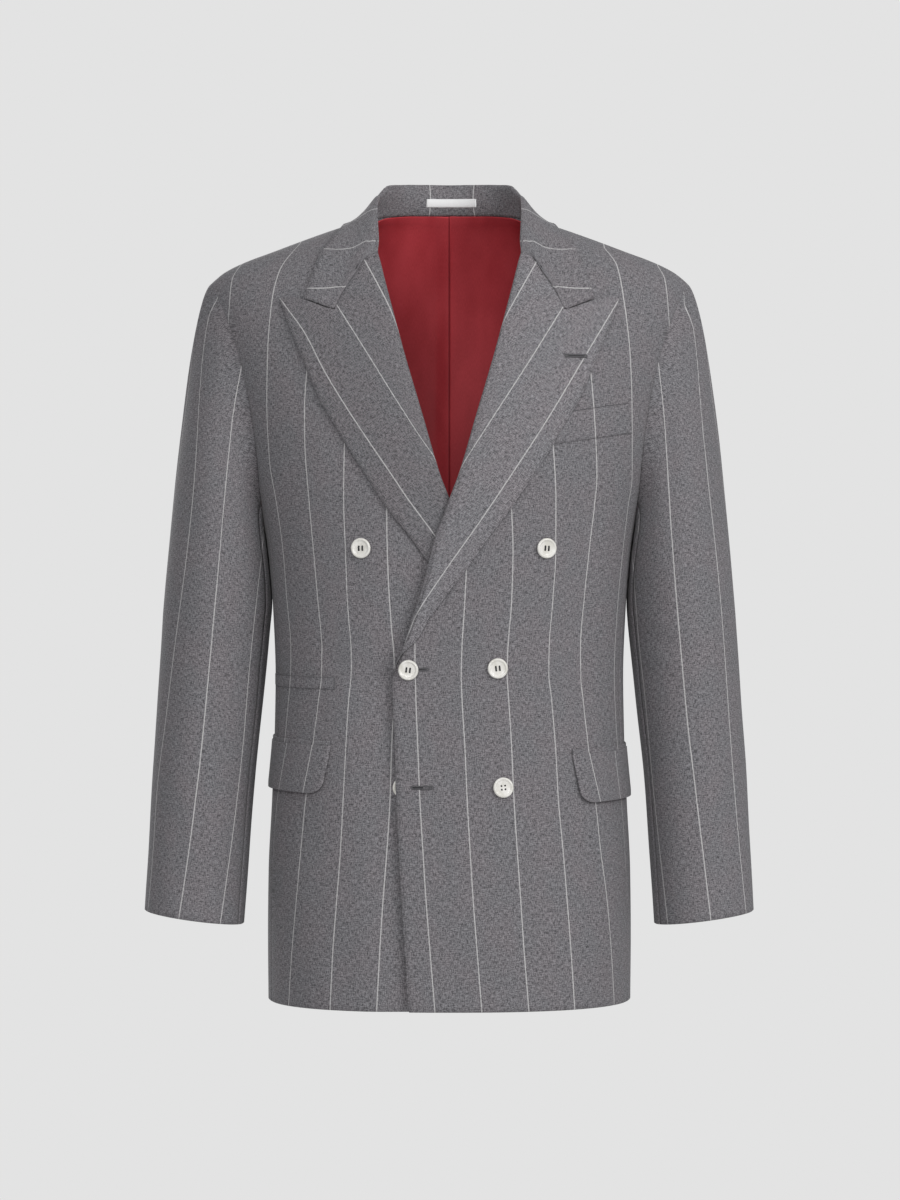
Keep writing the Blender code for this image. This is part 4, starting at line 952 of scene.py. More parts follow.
WOOL_DARK = (0.060, 0.0570, 0.0608)
WOOL_LIGHT = (0.291, 0.2787, 0.2889)
WOOL_COOL = (0.965, 0.985, 1.0)
WOOL_WARM = (1.03, 1.0, 1.015)
STRIPE_COLOUR = (0.58, 0.57, 0.565)
STRIPE_HALF = (0.00030, 0.00074)  # full within the first, gone beyond the second
STRIPE_WANDER = 0.010


def wool_look(name, gain):
    """Grey worsted with pale thread stripes, by the cloth maps in metres."""
    n = Nodes(name)
    stripe_u = n.place_on("Cloth")[0]
    place = n.place_on("Weave")
    warp = n.threads(place, (1150, 250), 2.0, 0.6)
    weft = n.threads(place, (230, 1100), 2.0, 0.6)
    grain = n.threads(place, (1100, 1100), 3.0, 0.75)
    tone = n.ramp(n.threads(place, (30, 22)), 0.3, 0.7, 0.0, 1.0)
    threads = n.plus(n.plus(n.times(warp, 0.32), n.times(weft, 0.30)), n.times(grain, 0.38))
    heather = n.ramp(threads, 0.40, 0.60, 0.0, 1.0)
    # gain scales the cloth's colours: above 1 it is painted light, below 1 painted shade.
    dark, light = (tuple(gain * c for c in colour) for colour in (WOOL_DARK, WOOL_LIGHT))
    cloth = n.mix(1.0, n.mix(heather, dark, light), n.mix(tone, WOOL_COOL, WOOL_WARM), "MULTIPLY")
    sway = n.noise(n.vector(0.0, n.times(place[1], 240)), 1.0)
    wander = n.times(n.math("SUBTRACT", sway, 0.5), STRIPE_WANDER)
    count = n.plus(n.times(stripe_u, 1 / STRIPE_PITCH), wander)
    off = n.math("ABSOLUTE", n.math("SUBTRACT", n.math("FRACT", n.plus(count, 0.5)), 0.5))
    beads = n.threads(place, (400, 640), 1.0)
    stripe = n.times(n.ramp(n.times(off, STRIPE_PITCH), *STRIPE_HALF, 1.0, 0.0),
                     n.ramp(beads, 0.25, 0.62, 0.50, 0.92))
    relief = n.plus(n.times(n.twill(place, (5200, 4300)), 0.18), n.times(threads, 1.6))
    relief = n.plus(relief, n.times(stripe, 0.5))
    return n.surface({
        "Base Color": n.mix(stripe, cloth, STRIPE_COLOUR),
        "Roughness": n.ramp(grain, 0.3, 0.7, 0.74, 0.90),
        "Normal": n.bump(relief, 0.35, 0.00022),
        "Sheen Weight": 0.12, "Sheen Roughness": 0.55, "Specular IOR Level": 0.25,
    })


LINING_DARK = (0.482, 0.046, 0.058)
LINING_LIGHT = (0.612, 0.070, 0.085)
# Painted shade along the pleat's fold: its colour, and how far from the middle it is full and where
# it is gone.
PLEAT_SHADE_COLOUR = (0.105, 0.009, 0.012)
PLEAT_SHADE_LINE = (0.0003, 0.0013)


def lining_look(name, painted_pleat_shade=False):
    """Red satin: a fine twill with slow changes of tone, and painted shade along its pleat's fold.
    """
    n = Nodes(name)
    place = n.place_on("Cloth")
    slow = n.threads(place, (34, 14))
    fine = n.threads(place, (1900, 260), 2.0, 0.6)
    share = n.ramp(n.plus(n.times(slow, 0.6), n.times(fine, 0.4)), 0.32, 0.68, 0.0, 1.0)
    colour = n.mix(share, LINING_DARK, LINING_LIGHT)
    if painted_pleat_shade:
        # painted shade: a dark line along the pleat's fold
        pleat = n.ramp(n.math("ABSOLUTE", place[0]), *PLEAT_SHADE_LINE, 0.78, 0.0)
        colour = n.mix(pleat, colour, PLEAT_SHADE_COLOUR)
    relief = n.plus(n.times(n.twill(place, (9000, 5200)), 0.12), fine)
    return n.surface({
        "Base Color": colour,
        "Roughness": n.ramp(slow, 0.3, 0.7, 0.50, 0.60),
        "Normal": n.bump(relief, 0.2, 0.00012),
        "Specular IOR Level": 0.18,
    })


def simple_look(name, low, high, scale, rough, bump=0.0, stretch=(1, 1, 1), coat=0.0):
    """A colour that varies with noise in the object's own space."""
    n = Nodes(name)
    scaled = n.node("ShaderNodeVectorMath", operation="MULTIPLY")
    n.link(n.node("ShaderNodeTexCoord").outputs["Object"], scaled.inputs[0])
    scaled.inputs[1].default_value = tuple(scale * s for s in stretch)
    spots = n.noise(scaled.outputs[0], 1.0, 3.0, 0.6)
    inputs = {"Base Color": n.mix(n.ramp(spots, 0.3, 0.7, 0.0, 1.0), low, high),
              "Roughness": n.ramp(spots, 0.3, 0.7, rough * 0.85, rough * 1.15)}
    if bump:
        inputs["Normal"] = n.bump(spots, 0.4, bump)
    if coat:
        inputs.update({"Coat Weight": coat, "Coat Roughness": 0.12})
    return n.surface(inputs)


WOOL = wool_look("wool_pinstripe", 1.0)
# Copies of the same cloth: one made 12% lighter as painted light for the wearer's left lapel, one
# made darker as painted shade for the right lapel.
WOOL_PAINTED_LIGHTER = wool_look("wool_pinstripe_painted_lighter", 1.12)
WOOL_SHADED = wool_look("wool_pinstripe_shaded", 0.90)
LINING = lining_look("lining_satin")
# This copy carries the painted shade along the back lining's pleat.
LINING_WITH_PAINTED_PLEAT_SHADE = lining_look("lining_satin_painted_pleat_shade", True)
PEARL = simple_look("pearl", (0.70, 0.68, 0.62), (0.88, 0.86, 0.82), 170, 0.24,
                    stretch=(1, 1, 0.5), coat=0.3)
DARK_THREAD = simple_look("dark_thread", (0.010, 0.010, 0.012), (0.030, 0.030, 0.034),
                          3000, 0.7, 0.0001)
HOLE_THREAD = simple_look("buttonhole_thread", (0.065, 0.063, 0.067), (0.145, 0.141, 0.149),
                          1800, 0.75, 0.0001)
LABEL = simple_look("label_weave", (0.82, 0.82, 0.82), (0.92, 0.92, 0.92), 1500, 0.6, 0.0001,
                    stretch=(1, 1, 3))
LABEL_THREAD = simple_look("label_thread", (0.50, 0.50, 0.50), (0.72, 0.72, 0.72), 2500, 0.7)


# --------------------------------------------------------------------------
# Body panels
# --------------------------------------------------------------------------
def low_levels():
    return [HEM + (NOTCH_LINE - HEM) * r / LOW_ROWS for r in range(LOW_ROWS + 1)]


def front_base():
    """Base points of the wearer's left front, from the hem to the shoulder."""
    rows = []
    for z in low_levels():
        start = angle_of(edge_across(z), z)
        end = seam_angle(z, SIDE_SEAM_FRONT, -1)
        rows.append([point_at(start + (end - start) * c / FRONT_COLUMNS, z)
                     for c in range(FRONT_COLUMNS + 1)])
    for row in range(1, HIGH_ROWS + 1):
        start = edge_angle(row)
        end = armhole_angle(row, False)
        points = []
        for c in range(FRONT_COLUMNS + 1):
            x = row_across(start + (end - start) * c / FRONT_COLUMNS, row, False)
            points.append(body_point(x, row_height(x, row, False)))
        if row == HIGH_ROWS:
            for point in points:
                point.y = -SEAM_GAP / 2
        rows.append(points)
    return rows


def seam_tuck(face, normals, edges):
    """Draws the cloth in at its seams, so that each seam lies in a soft groove."""
    last_row = len(face) - 1
    last_column = len(face[0]) - 1
    for r, row in enumerate(face):
        for c in range(len(row)):
            steps = min(c if "left" in edges else FAR_FROM_SEAM,
                        last_column - c if "right" in edges else FAR_FROM_SEAM,
                        last_row - r if "top" in edges else FAR_FROM_SEAM)
            if steps < 2:
                share = 1.0 if steps == 0 else 0.30
                if steps == last_row - r:
                    share *= 0.4
                row[c] = row[c] - normals[r][c] * SEAM_DEPTH * share


def build_panel(name, side, base, lift, count, rests, seams, free=("bottom",), facing=0.0,
                crisp=()):
    """A panel of the body with its folds, seams, stripes and lining."""
    signed = base if side > 0 else mirrored(base)
    normals = [[body_normal(p) for p in row] for row in signed]
    face = []
    backing = []
    for row, line in zip(signed, normals):
        lifts = [lift(p.x, p.z) for p in row]
        face.append([p + n * up for p, n, up in zip(row, line, lifts)])
        backing.append([p + n * (up - CLOTH) for p, n, up in zip(row, line, lifts)])
    counts = [count(row) for row in face]
    seam_tuck(face, normals, seams)
    arcs = [arcs_of(row) for row in face]

    def inside(r, c):
        return 0 if arcs[r][c] < facing or face[r][0].z < HEM + HEM_FACING else 1
    piece = shell("cloth_" + name, face, backing, cloth_map(face, counts), (WOOL, LINING), free,
                  inside, crisp=crisp)
    place(piece, name, "wool_cloth", (face, [rests]))
    return face


def even_count(first):
    """Stripe counts by distance alone, from the count at a row's start."""
    return lambda row: [first + arc / STRIPE_PITCH for arc in arcs_of(row)]


def build_fronts():
    base = front_base()
    for side, word, stripes in ((1, "left", LEFT_STRIPES), (-1, "right", RIGHT_STRIPES)):
        def lift(x, z):
            return front_relief(x, z) - (0.0 if side > 0 else recess(x, z))
        face = build_panel("front_" + word, side, base, lift,
                           lambda row: stripe_count(row, stripes, side), "cloth_side_" + word,
                           ("right", "top"), ("bottom", "left"), FRONT_FACING, ("top",))
        if side > 0:
            foot = sum(1 for row in face if row[0].z < ROLL_FOOT)
            pick_stitches("stitches_front", edge_path(face, 0, 1, foot))


def build_sides():
    base = []
    for level in low_levels():
        start = seam_angle(level, SIDE_SEAM_FRONT, 1)
        end = seam_angle(level, SIDE_SEAM_BACK, -1)
        points = []
        for c in range(SIDE_COLUMNS + 1):
            angle = start + (end - start) * c / SIDE_COLUMNS
            z = level
            if level > SIDE_BEND:
                part = (level - SIDE_BEND) / (NOTCH_LINE - SIDE_BEND)
                z = SIDE_BEND + part * (armhole_low(angle) - SIDE_BEND)
            points.append(point_at(angle, z))
        base.append(points)
    for side, word in ((1, "left"), (-1, "right")):
        build_panel("side_" + word, side, base, lambda x, z: 0.0, even_count(SIDE_FIRST),
                    "cloth_back_" + word, ("left", "right", "top"))


def back_shares():
    return [math.sin(math.pi / 2 * c / BACK_COLUMNS) * 0.35 + 0.65 * c / BACK_COLUMNS
            for c in range(BACK_COLUMNS + 1)]


def build_backs():
    base = []
    for z in low_levels():
        reach = across_at(seam_angle(z, SIDE_SEAM_BACK, 1), z)
        base.append([body_point(max(SEAM_GAP / 2, s * reach), z, back=True) for s in back_shares()])
    for row in range(1, HIGH_ROWS + 1):
        reach = row_across(armhole_angle(row, True), row, True)
        points = []
        for share in back_shares():
            x = max(SEAM_GAP / 2, share * reach)
            point = body_point(x, row_height(x, row, True), back=True)
            if row == HIGH_ROWS and x > NECK_POINT - 0.001:
                point.y = SEAM_GAP / 2
            points.append(point)
        base.append(points)
    for side, word in ((1, "left"), (-1, "right")):
        build_panel("back_" + word, side, base, back_relief, even_count(BACK_FIRST),
                    "cloth_collar", ("right", "top"), crisp=("top",))


# --------------------------------------------------------------------------
# Sleeves
# --------------------------------------------------------------------------
def armhole_ring():
    ring = []
    for row in range(HIGH_ROWS, 0, -1):
        x = row_across(armhole_angle(row, False), row, False)
        point = body_point(x, row_height(x, row, False))
        if row == HIGH_ROWS:
            point.y = 0.0
        ring.append(point)
    for c in range(SIDE_COLUMNS + 1):
        angle = SIDE_SEAM_FRONT + (SIDE_SEAM_BACK - SIDE_SEAM_FRONT) * c / SIDE_COLUMNS
        ring.append(point_at(angle, armhole_low(angle)))
    for row in range(1, HIGH_ROWS):
        x = row_across(armhole_angle(row, True), row, True)
        ring.append(body_point(x, row_height(x, row, True), back=True))
    return ring


def ring_turns(ring):
    under = HIGH_ROWS + SIDE_COLUMNS // 2
    count = len(ring)
    lengths = [0.0]
    for i in range(count):
        lengths.append(lengths[-1] + (ring[(i + 1) % count] - ring[i]).length)
    half = lengths[under]
    turns = []
    for i in range(count):
        if i <= under:
            turns.append(math.pi * lengths[i] / half)
        else:
            turns.append(math.pi + math.pi * (lengths[i] - half) / (lengths[count] - half))
    return turns


def sleeve_section(turn, level):
    width = SLEEVE.at(level, "half_width")
    depth = SLEEVE.at(level, "half_depth")
    low = SLEEVE.keys[0]
    slant = CUFF_SLANT * smooth_step((SLEEVE.keys[3] - level) / (SLEEVE.keys[3] - low))
    reach = width * math.cos(turn)
    return Vector((SLEEVE.at(level, "across") + reach,
                   SLEEVE.at(level, "forward") - depth * math.sin(turn),
                   level + slant * reach))


def inner_limit(point):
    """Where the sleeve would touch the side of the body."""
    if point.z > CHEST_LINE:
        return point.x - 1.0
    depth = BODY.at(point.z, "front" if point.y < 0 else "back")
    power = roundness(point.y)
    share = min(1.0, abs(point.y) / depth) ** power
    return BODY.at(point.z, "half_width") * (1 - share) ** (1 / power) + SLEEVE_CLEARANCE


def clear_of_body(point):
    return Vector((max(point.x, inner_limit(point)), point.y, point.z))


def sleeve_rings():
    ring = armhole_ring()
    turns = ring_turns(ring)
    count = len(ring)
    top = ring[0].z
    head = [(k / HEAD_RINGS) ** HEAD_SPREAD for k in range(HEAD_RINGS + 1)]
    faces = [[] for _ in head]
    first_backing = []
    for i in range(count):
        point = ring[i]
        normal = body_normal(point)
        tangent = (ring[(i + 1) % count] - ring[i - 1]).normalized()
        away = normal.cross(tangent).normalized()
        down = (point.z - top) / (CHEST_LINE - top)
        turn = math.radians(SLEEVE_HEAD.at(down, "turn"))
        start, backing = seam_start(point, normal, away, turn, CLOTH, SLEEVE_SEAM)
        leave = away * math.cos(turn) + normal * math.sin(turn)
        first_backing.append(backing - leave * SLEEVE_TUCK)
        end = clear_of_body(sleeve_section(turns[i], SLEEVE.keys[-1]))
        length = (end - start).length
        reach = min(SLEEVE_HEAD.at(down, "reach"), length * HEAD_REACH)
        handle_start = start + leave * reach
        above, below = HEAD_ARRIVE
        arrive = above + (below - above) * blend_at(0.40, 0.60, down)
        handle_end = end + SLEEVE_TILT * length * arrive
        for k, share in enumerate(head):
            placed = bezier(start, handle_start, handle_end, end, share)
            if k == 0:
                placed = placed - leave * SLEEVE_TUCK
            faces[k].append(placed if k == 0 else clear_of_body(placed))
    low = SLEEVE.keys[0]
    high = SLEEVE.keys[-1]
    for k in range(1, ARM_RINGS + 1):
        level = high + (low - high) * k / ARM_RINGS
        faces.append([clear_of_body(sleeve_section(turn, level)) for turn in turns])
    return faces, first_backing, turns


def ring_normals(faces):
    count = len(faces[0])
    normals = []
    for r in range(len(faces)):
        below = faces[min(r + 1, len(faces) - 1)]
        above = faces[max(r - 1, 0)]
        middle = sum(faces[r], Vector()) / count
        line = []
        for i in range(count):
            along = faces[r][(i + 1) % count] - faces[r][i - 1]
            normal = along.cross(below[i] - above[i]).normalized()
            if normal.dot(faces[r][i] - middle) < 0:
                normal.negate()
            line.append(normal)
        normals.append(line)
    return normals


def sleeve_faces(side, turns, rings):
    """The rings of one sleeve with its folds, and their normals."""
    normals = ring_normals(rings)
    folds = [((u0 * DEGREE_ROUND, v0), (u1 * DEGREE_ROUND, v1), width, depth)
             for (u0, v0), (u1, v1), width, depth in SLEEVE_FOLDS]
    faces = []
    for r, (row, line) in enumerate(zip(rings, normals)):
        depth_in = min(1.0, r / 8)
        points = []
        for turn, p, n in zip(turns, row, line):
            around = math.degrees(turn) * DEGREE_ROUND
            height = fold_height(around, p.z, folds) + drift(around * 1.5, p.z, 3.0 + side)
            inner = blend_at(0.0, 0.004, p.x - inner_limit(p))
            points.append(p + n * height * depth_in * inner)
        faces.append(points)
    return faces, normals


def arm_turn(point, near):
    """Direction of a point from the arm's axis, in the turn nearest to another."""
    rise_by = point.z - SLEEVE.keys[-1]
    across = SLEEVE.rows[-1][1] + SLEEVE_TILT.x * rise_by
    turn = math.atan2(-(point.y - SLEEVE.rows[-1][2]) / SLEEVE.rows[-1][4],
                      (point.x - across) / SLEEVE.rows[-1][3])
    return turn + 2 * math.pi * round((near - turn) / (2 * math.pi))


def arm_arcs(loop, order, turns, widest):
    """Where each point of a loop lies on the upper arm, as a distance round it."""
    count = len(turns)
    known = [turns[i % count] + 2 * math.pi * (i // count) for i in order]
    found = []
    for point, near in zip(loop, known):
        turn = min(max(arm_turn(point, near), known[0]), known[-1])
        low = 0
        while low < len(known) - 2 and known[low + 1] < turn:
            low += 1
        share = (turn - known[low]) / (known[low + 1] - known[low])
        found.append(widest[low] + (widest[low + 1] - widest[low]) * share)
    return found


def build_sleeves():
    rings, first_backing, turns = sleeve_rings()
    count = len(rings[0])
    front_seam = HIGH_ROWS + SIDE_COLUMNS // 6
    back_seam = HIGH_ROWS + SIDE_COLUMNS + HIGH_ROWS // 3
    under = HIGH_ROWS + SIDE_COLUMNS // 2
    upper = range(back_seam, count + front_seam + 1)
    lower = range(count + front_seam, count + back_seam + 1)
    order = range(back_seam, count + back_seam + 1)

    def usable(i):
        return count - back_seam <= i < count - back_seam + under
    for side, word, stripes in ((1, "left", LEFT_SLEEVE_STRIPES),
                                (-1, "right", RIGHT_SLEEVE_STRIPES)):
        faces, normals = sleeve_faces(side, turns, rings)
        backing = [[p - n * CLOTH for p, n in zip(*pair)] for pair in zip(faces, normals)]
        backing[0] = first_backing
        upper_arm = [faces[HEAD_RINGS][i % count] for i in order]
        widest = arcs_of(upper_arm)
        anchor = stripe_marks(upper_arm, stripes, 1, usable)[0][0]
        counts = []
        for r, row in enumerate(faces):
            loop = [row[i % count] for i in order]
            in_head = ()
            if r < HEAD_RINGS:
                in_head = (arm_arcs(loop, order, turns, widest), anchor)
            counts.append(stripe_count(loop, stripes, 1, usable, *in_head))
        for name, columns in (("sleeve_top_", upper), ("sleeve_under_", lower)):
            face = []
            back = []
            number = []
            for r in reversed(range(len(faces))):
                line = [faces[r][i % count].copy() for i in columns]
                behind = [backing[r][i % count].copy() for i in columns]
                for end, inner in ((0, 1), (-1, -2)):
                    towards = (line[inner] - line[end]).normalized() * SEAM_GAP / 2
                    groove = normals[r][columns[end] % count] * SEAM_DEPTH
                    line[end] = line[end] + towards - groove
                    behind[end] = behind[end] + towards
                face.append(line)
                back.append(behind)
                number.append([counts[r][i - back_seam] for i in columns])
            if side < 0:
                face = mirrored(face)
                back = mirrored(back)
            round_arm = [widest[i - back_seam] / STRIPE_PITCH for i in columns]
            piece = shell("cloth_" + name + word, face, back, cloth_map(face, number),
                          (WOOL, LINING), ("bottom",),
                          lambda r, c: 0 if r < CUFF_FACING_ROWS else 1,
                          weave=cloth_map(face, [round_arm] * len(face)))
            place(piece, name + word, "wool_cloth", (face, ["cloth_front_" + word]))


# --------------------------------------------------------------------------
# Lapels
# --------------------------------------------------------------------------
def top_edge(place):
    table = GORGE if place <= NOTCH_PLACE else PEAK
    return table.at(place, "across"), table.at(place, "height")


def lapel_lift(side, share, x, z):
    lift = LAPEL_LIFT.at(share, "lift")
    if side < 0:
        cover = recess(-x, z) / OVERLAP_DEPTH
        lift += (min(lift, LAPEL_FLAT_LIFT) - lift) * smooth_step(cover * 1.6)
    return lift


def fold_over(side, x, z, lift, radius, high):
    """The cloth that turns round the edge of the front: face and backing points."""
    point = body_point(side * x, z)
    deep = recess(point.x, z) if side < 0 else 0.0
    normal = body_normal(point)
    out = Vector((-side, 0, 0))
    out = (out - normal * out.dot(normal)).normalized()
    centre = on_front(point, lift - high - deep)
    face = []
    backing = []
    for k in range(LAPEL_WRAP):
        angle = math.radians(WRAP_START + WRAP_TURN * k / LAPEL_WRAP)
        ray = out * math.cos(angle) * radius + normal * math.sin(angle) * high
        face.append(centre + ray)
        backing.append(centre + ray * max(0.1, 1 - LAPEL_CLOTH * 0.8 / ray.length))
    return face, backing


def lapel_row(side, share_down):
    """One row of a lapel, from the front's edge to its own: face and backing."""
    foot = LAPEL_OUTER.keys[0]
    start_x = top_edge(0)[0]
    peak_x, peak_z = top_edge(LAPEL_PLACES)
    roll_z = ROLL_TOP + (foot - 0.001 - ROLL_TOP) * share_down
    inner_x = FRONT_EDGE.at(roll_z, "across")
    outer_z = peak_z + (foot - peak_z) * share_down ** 0.92
    outer_x = LAPEL_OUTER.at(outer_z, "across")
    fade = 1 - smooth_step(1.25 * share_down)
    narrow = max(abs(outer_x - inner_x), LAPEL_NARROWEST)
    radius = min(ROLL_RADIUS, narrow * 0.4)
    reach = max(0.12, 2.2 * radius / narrow)
    lifts = []
    line = []
    under = []
    for k in range(LAPEL_STEPS + 1):
        place_at = LAPEL_PLACES * k / LAPEL_STEPS
        top_x, top_z = top_edge(place_at)
        opens, closes = (blend_at(*fade, place_at) for fade in NOTCH_FADES)
        top_z -= NOTCH_OPENING * opens * (1 - closes)
        share = (top_x - start_x) / (peak_x - start_x)
        drop = top_z - (ROLL_TOP + (peak_z - ROLL_TOP) * share)
        near_roll = max(0.0, 1 - share / reach)
        x = inner_x + (outer_x - inner_x) * share + radius * near_roll
        z = roll_z + (outer_z - roll_z) * share + drop * fade
        lift = lapel_lift(side, share, x, z) + ROLL_RISE * near_roll
        edge_in = min(1.0, (1 - share) * narrow / EDGE_PRESS_WIDTH)
        lift -= EDGE_PRESS * (1 - edge_in) ** 2
        lifts.append(lift)
        point = body_point(side * x, z)
        deep = recess(point.x, z) if side < 0 else 0.0
        line.append(on_front(point, lift - deep))
        under.append(on_front(point, lift - deep - LAPEL_CLOTH))
    high = (lifts[0] + ROLL_THICKNESS) / 2
    wrap, wrap_back = fold_over(side, inner_x + radius, roll_z, lifts[0], radius, high)
    return wrap + line, wrap_back + under


def build_lapels():
    # The left lapel takes the cloth with painted light, the right lapel the cloth with painted
    # shade.
    for side, word, stripes, cloth in ((1, "left", LEFT_LAPEL_STRIPES, WOOL_PAINTED_LIGHTER),
                                       (-1, "right", RIGHT_LAPEL_STRIPES, WOOL_SHADED)):
        rows = [lapel_row(side, row / LAPEL_ROWS) for row in range(LAPEL_ROWS, -1, -1)]
        face, backing = (list(part) for part in zip(*rows))
        counts = []
        for row in face:
            plain = [count_at(side * p.x, p.z, stripes, LAPEL_SLANT) for p in row[LAPEL_WRAP:]]
            steps = [(b - a).length for a, b in zip(row[:LAPEL_WRAP], row[1:])]
            lead = [plain[0] - sum(steps[k:]) / STRIPE_PITCH for k in range(LAPEL_WRAP)]
            counts.append(lead + plain)
        piece = shell("cloth_lapel_" + word, face, backing, cloth_map(face, counts), (cloth,),
                      ("right", "top", "corner"), bulge=LAPEL_BULGE)
        pick_stitches("stitches_lapel_" + word, edge_path(face, -1, 3, LAPEL_ROWS - 1))
        place(piece, "lapel_" + word, "wool_cloth", (face, ["cloth_front_" + word]))


# --------------------------------------------------------------------------
# Collar
# --------------------------------------------------------------------------
def neck_point(station):
    if station <= BACK_STATION:
        x = NECK_BACK.at(station, "across")
        return body_point(x, BACK_NECK.at(x, "height"), back=True)
    z = NECK_FRONT.at(station, "height")
    return body_point(FRONT_EDGE.at(z, "across"), z)


def collar_edge(station):
    x = COLLAR.at(station, "edge_across")
    ridge = SHOULDER.at(x, "height")
    on_ridge = Vector((x, 0.004, ridge))
    back = station <= BACK_STATION
    point = body_point(x, min(COLLAR.at(station, "edge_height"), ridge), back=back)
    share = blend_at(4.0, 5.0, station) if back else 1 - blend_at(5.0, 6.0, station)
    return point.lerp(on_ridge, share)


FIELD_STEP = 1e-5


def off_body(point, lift):
    """Moves a point out until it clears the body by the lift."""
    for _ in range(4):
        normal = body_normal(point)
        here = body_field(*point)
        grade = (body_field(*(point + normal * FIELD_STEP)) - here) / FIELD_STEP
        height = here / max(grade, 1.0)
        if height >= lift:
            return point
        point = point + normal * (lift - height)
    return point


GORGE_GAP = 0.0004


def gorge_point(place_at):
    x, z = top_edge(place_at)
    before = top_edge(max(place_at - 0.05, 0))
    after = top_edge(min(place_at + 0.05, LAPEL_PLACES))
    length = math.hypot(after[0] - before[0], after[1] - before[1])
    x_at = x - (after[1] - before[1]) / length * GORGE_GAP
    z_at = z + (after[0] - before[0]) / length * GORGE_GAP
    share = (x - top_edge(0)[0]) / (top_edge(LAPEL_PLACES)[0] - top_edge(0)[0])
    return front_face(1, x_at, z_at, lapel_lift(1, share, x, z))


STATION_STEP = 0.04
STAND_STEPS = 12
FALL_STEPS = 30
GORGE_ENDS = [gorge_point(8 * k / FALL_STEPS) for k in range(FALL_STEPS + 1)]


def collar_section(station):
    """Seam on the outside, then the face: up the stand, over and down the fall."""
    seam = neck_point(station)
    before = neck_point(abs(station - STATION_STEP))
    if station <= STATION_STEP:
        before = neck_point(STATION_STEP)
        before.x = -before.x
    after = neck_point(min(station + STATION_STEP, GORGE_STATION))
    normal = body_normal(seam)
    away = (after - before).normalized().cross(normal).normalized()
    if away.dot(NECK_AXIS - seam) < 0:
        away.negate()
    turn = math.radians(COLLAR.at(station, "turn"))
    outside, inside = seam_start(seam, normal, away, turn, COLLAR_CLOTH, GORGE_GAP)
    upward = (away * math.cos(turn) + normal * math.sin(turn)).normalized()
    outward = Vector((seam.x, seam.y - NECK_AXIS.y, 0.0)).normalized()
    height = COLLAR.at(station, "stand")
    lean = COLLAR.at(station, "lean") - COLLAR_CLOTH
    fold = inside + Vector((0, 0, height)) - outward * lean
    last = smooth_step(station - 8)
    fold = fold.lerp(GORGE_ENDS[0], last)
    inside = inside.lerp(GORGE_ENDS[0] - normal * 0.0024, last)
    edge = collar_edge(station)
    edge_normal = body_normal(edge)
    lift = COLLAR_LIFT.at(station, "lift")
    edge = edge + edge_normal * lift
    leave = inside + upward * height * 0.35
    arrive = fold - outward * height * 0.10 - Vector((0, 0, height * 0.30))
    face = [bezier(inside, leave, arrive, fold, k / STAND_STEPS) for k in range(STAND_STEPS)]
    fall = (edge - fold).length
    slope = fold - edge
    slope = (slope - edge_normal * slope.dot(edge_normal)).normalized()
    pull = GORGE_PULL.at(station, "pull")
    leave = fold + outward * fall * 0.12 + Vector((0, 0, 0.0012))
    for k in range(FALL_STEPS + 1):
        share = (k / FALL_STEPS) ** 1.3
        point = bezier(fold, leave, edge + slope * fall * 0.45, edge, share)
        straight = GORGE_ENDS[0] + (GORGE_ENDS[-1] - GORGE_ENDS[0]) * share
        point = point + (GORGE_ENDS[k] - straight) * pull
        if k > FALL_STEPS // 4:
            point = off_body(point, lift)
        face.append(point.lerp(GORGE_ENDS[k], last))
    return outside, face


def on_side(count, side):
    return count if side > 0 else 2 * COLLAR_MIDDLE - count


def stand_count(side, station):
    """Stripe count on the stand: by length along the neck, slower at the sides."""
    along = COLLAR_ARCS.at(station, "arc") - side * COLLAR_SHIFT
    count = COLLAR_MIDDLE + along / COLLAR_PITCH
    start, rate = STAND_SLOWS
    return on_side(min(count, start + (count - start) * rate), side)


def leaf_count(point):
    """Stripe count on the front of the collar's fall, from the upper stripe down."""
    upper, middle, lower = (LEAF.at(abs(point.x), name) for name in ("upper", "middle", "lower"))
    if point.z > middle:
        return 7 - (point.z - middle) / (upper - middle)
    if point.z > lower:
        return 8 - (point.z - lower) / (middle - lower)
    return 8 - (point.z - lower) / STRIPE_PITCH


UPPER_FIT = 16


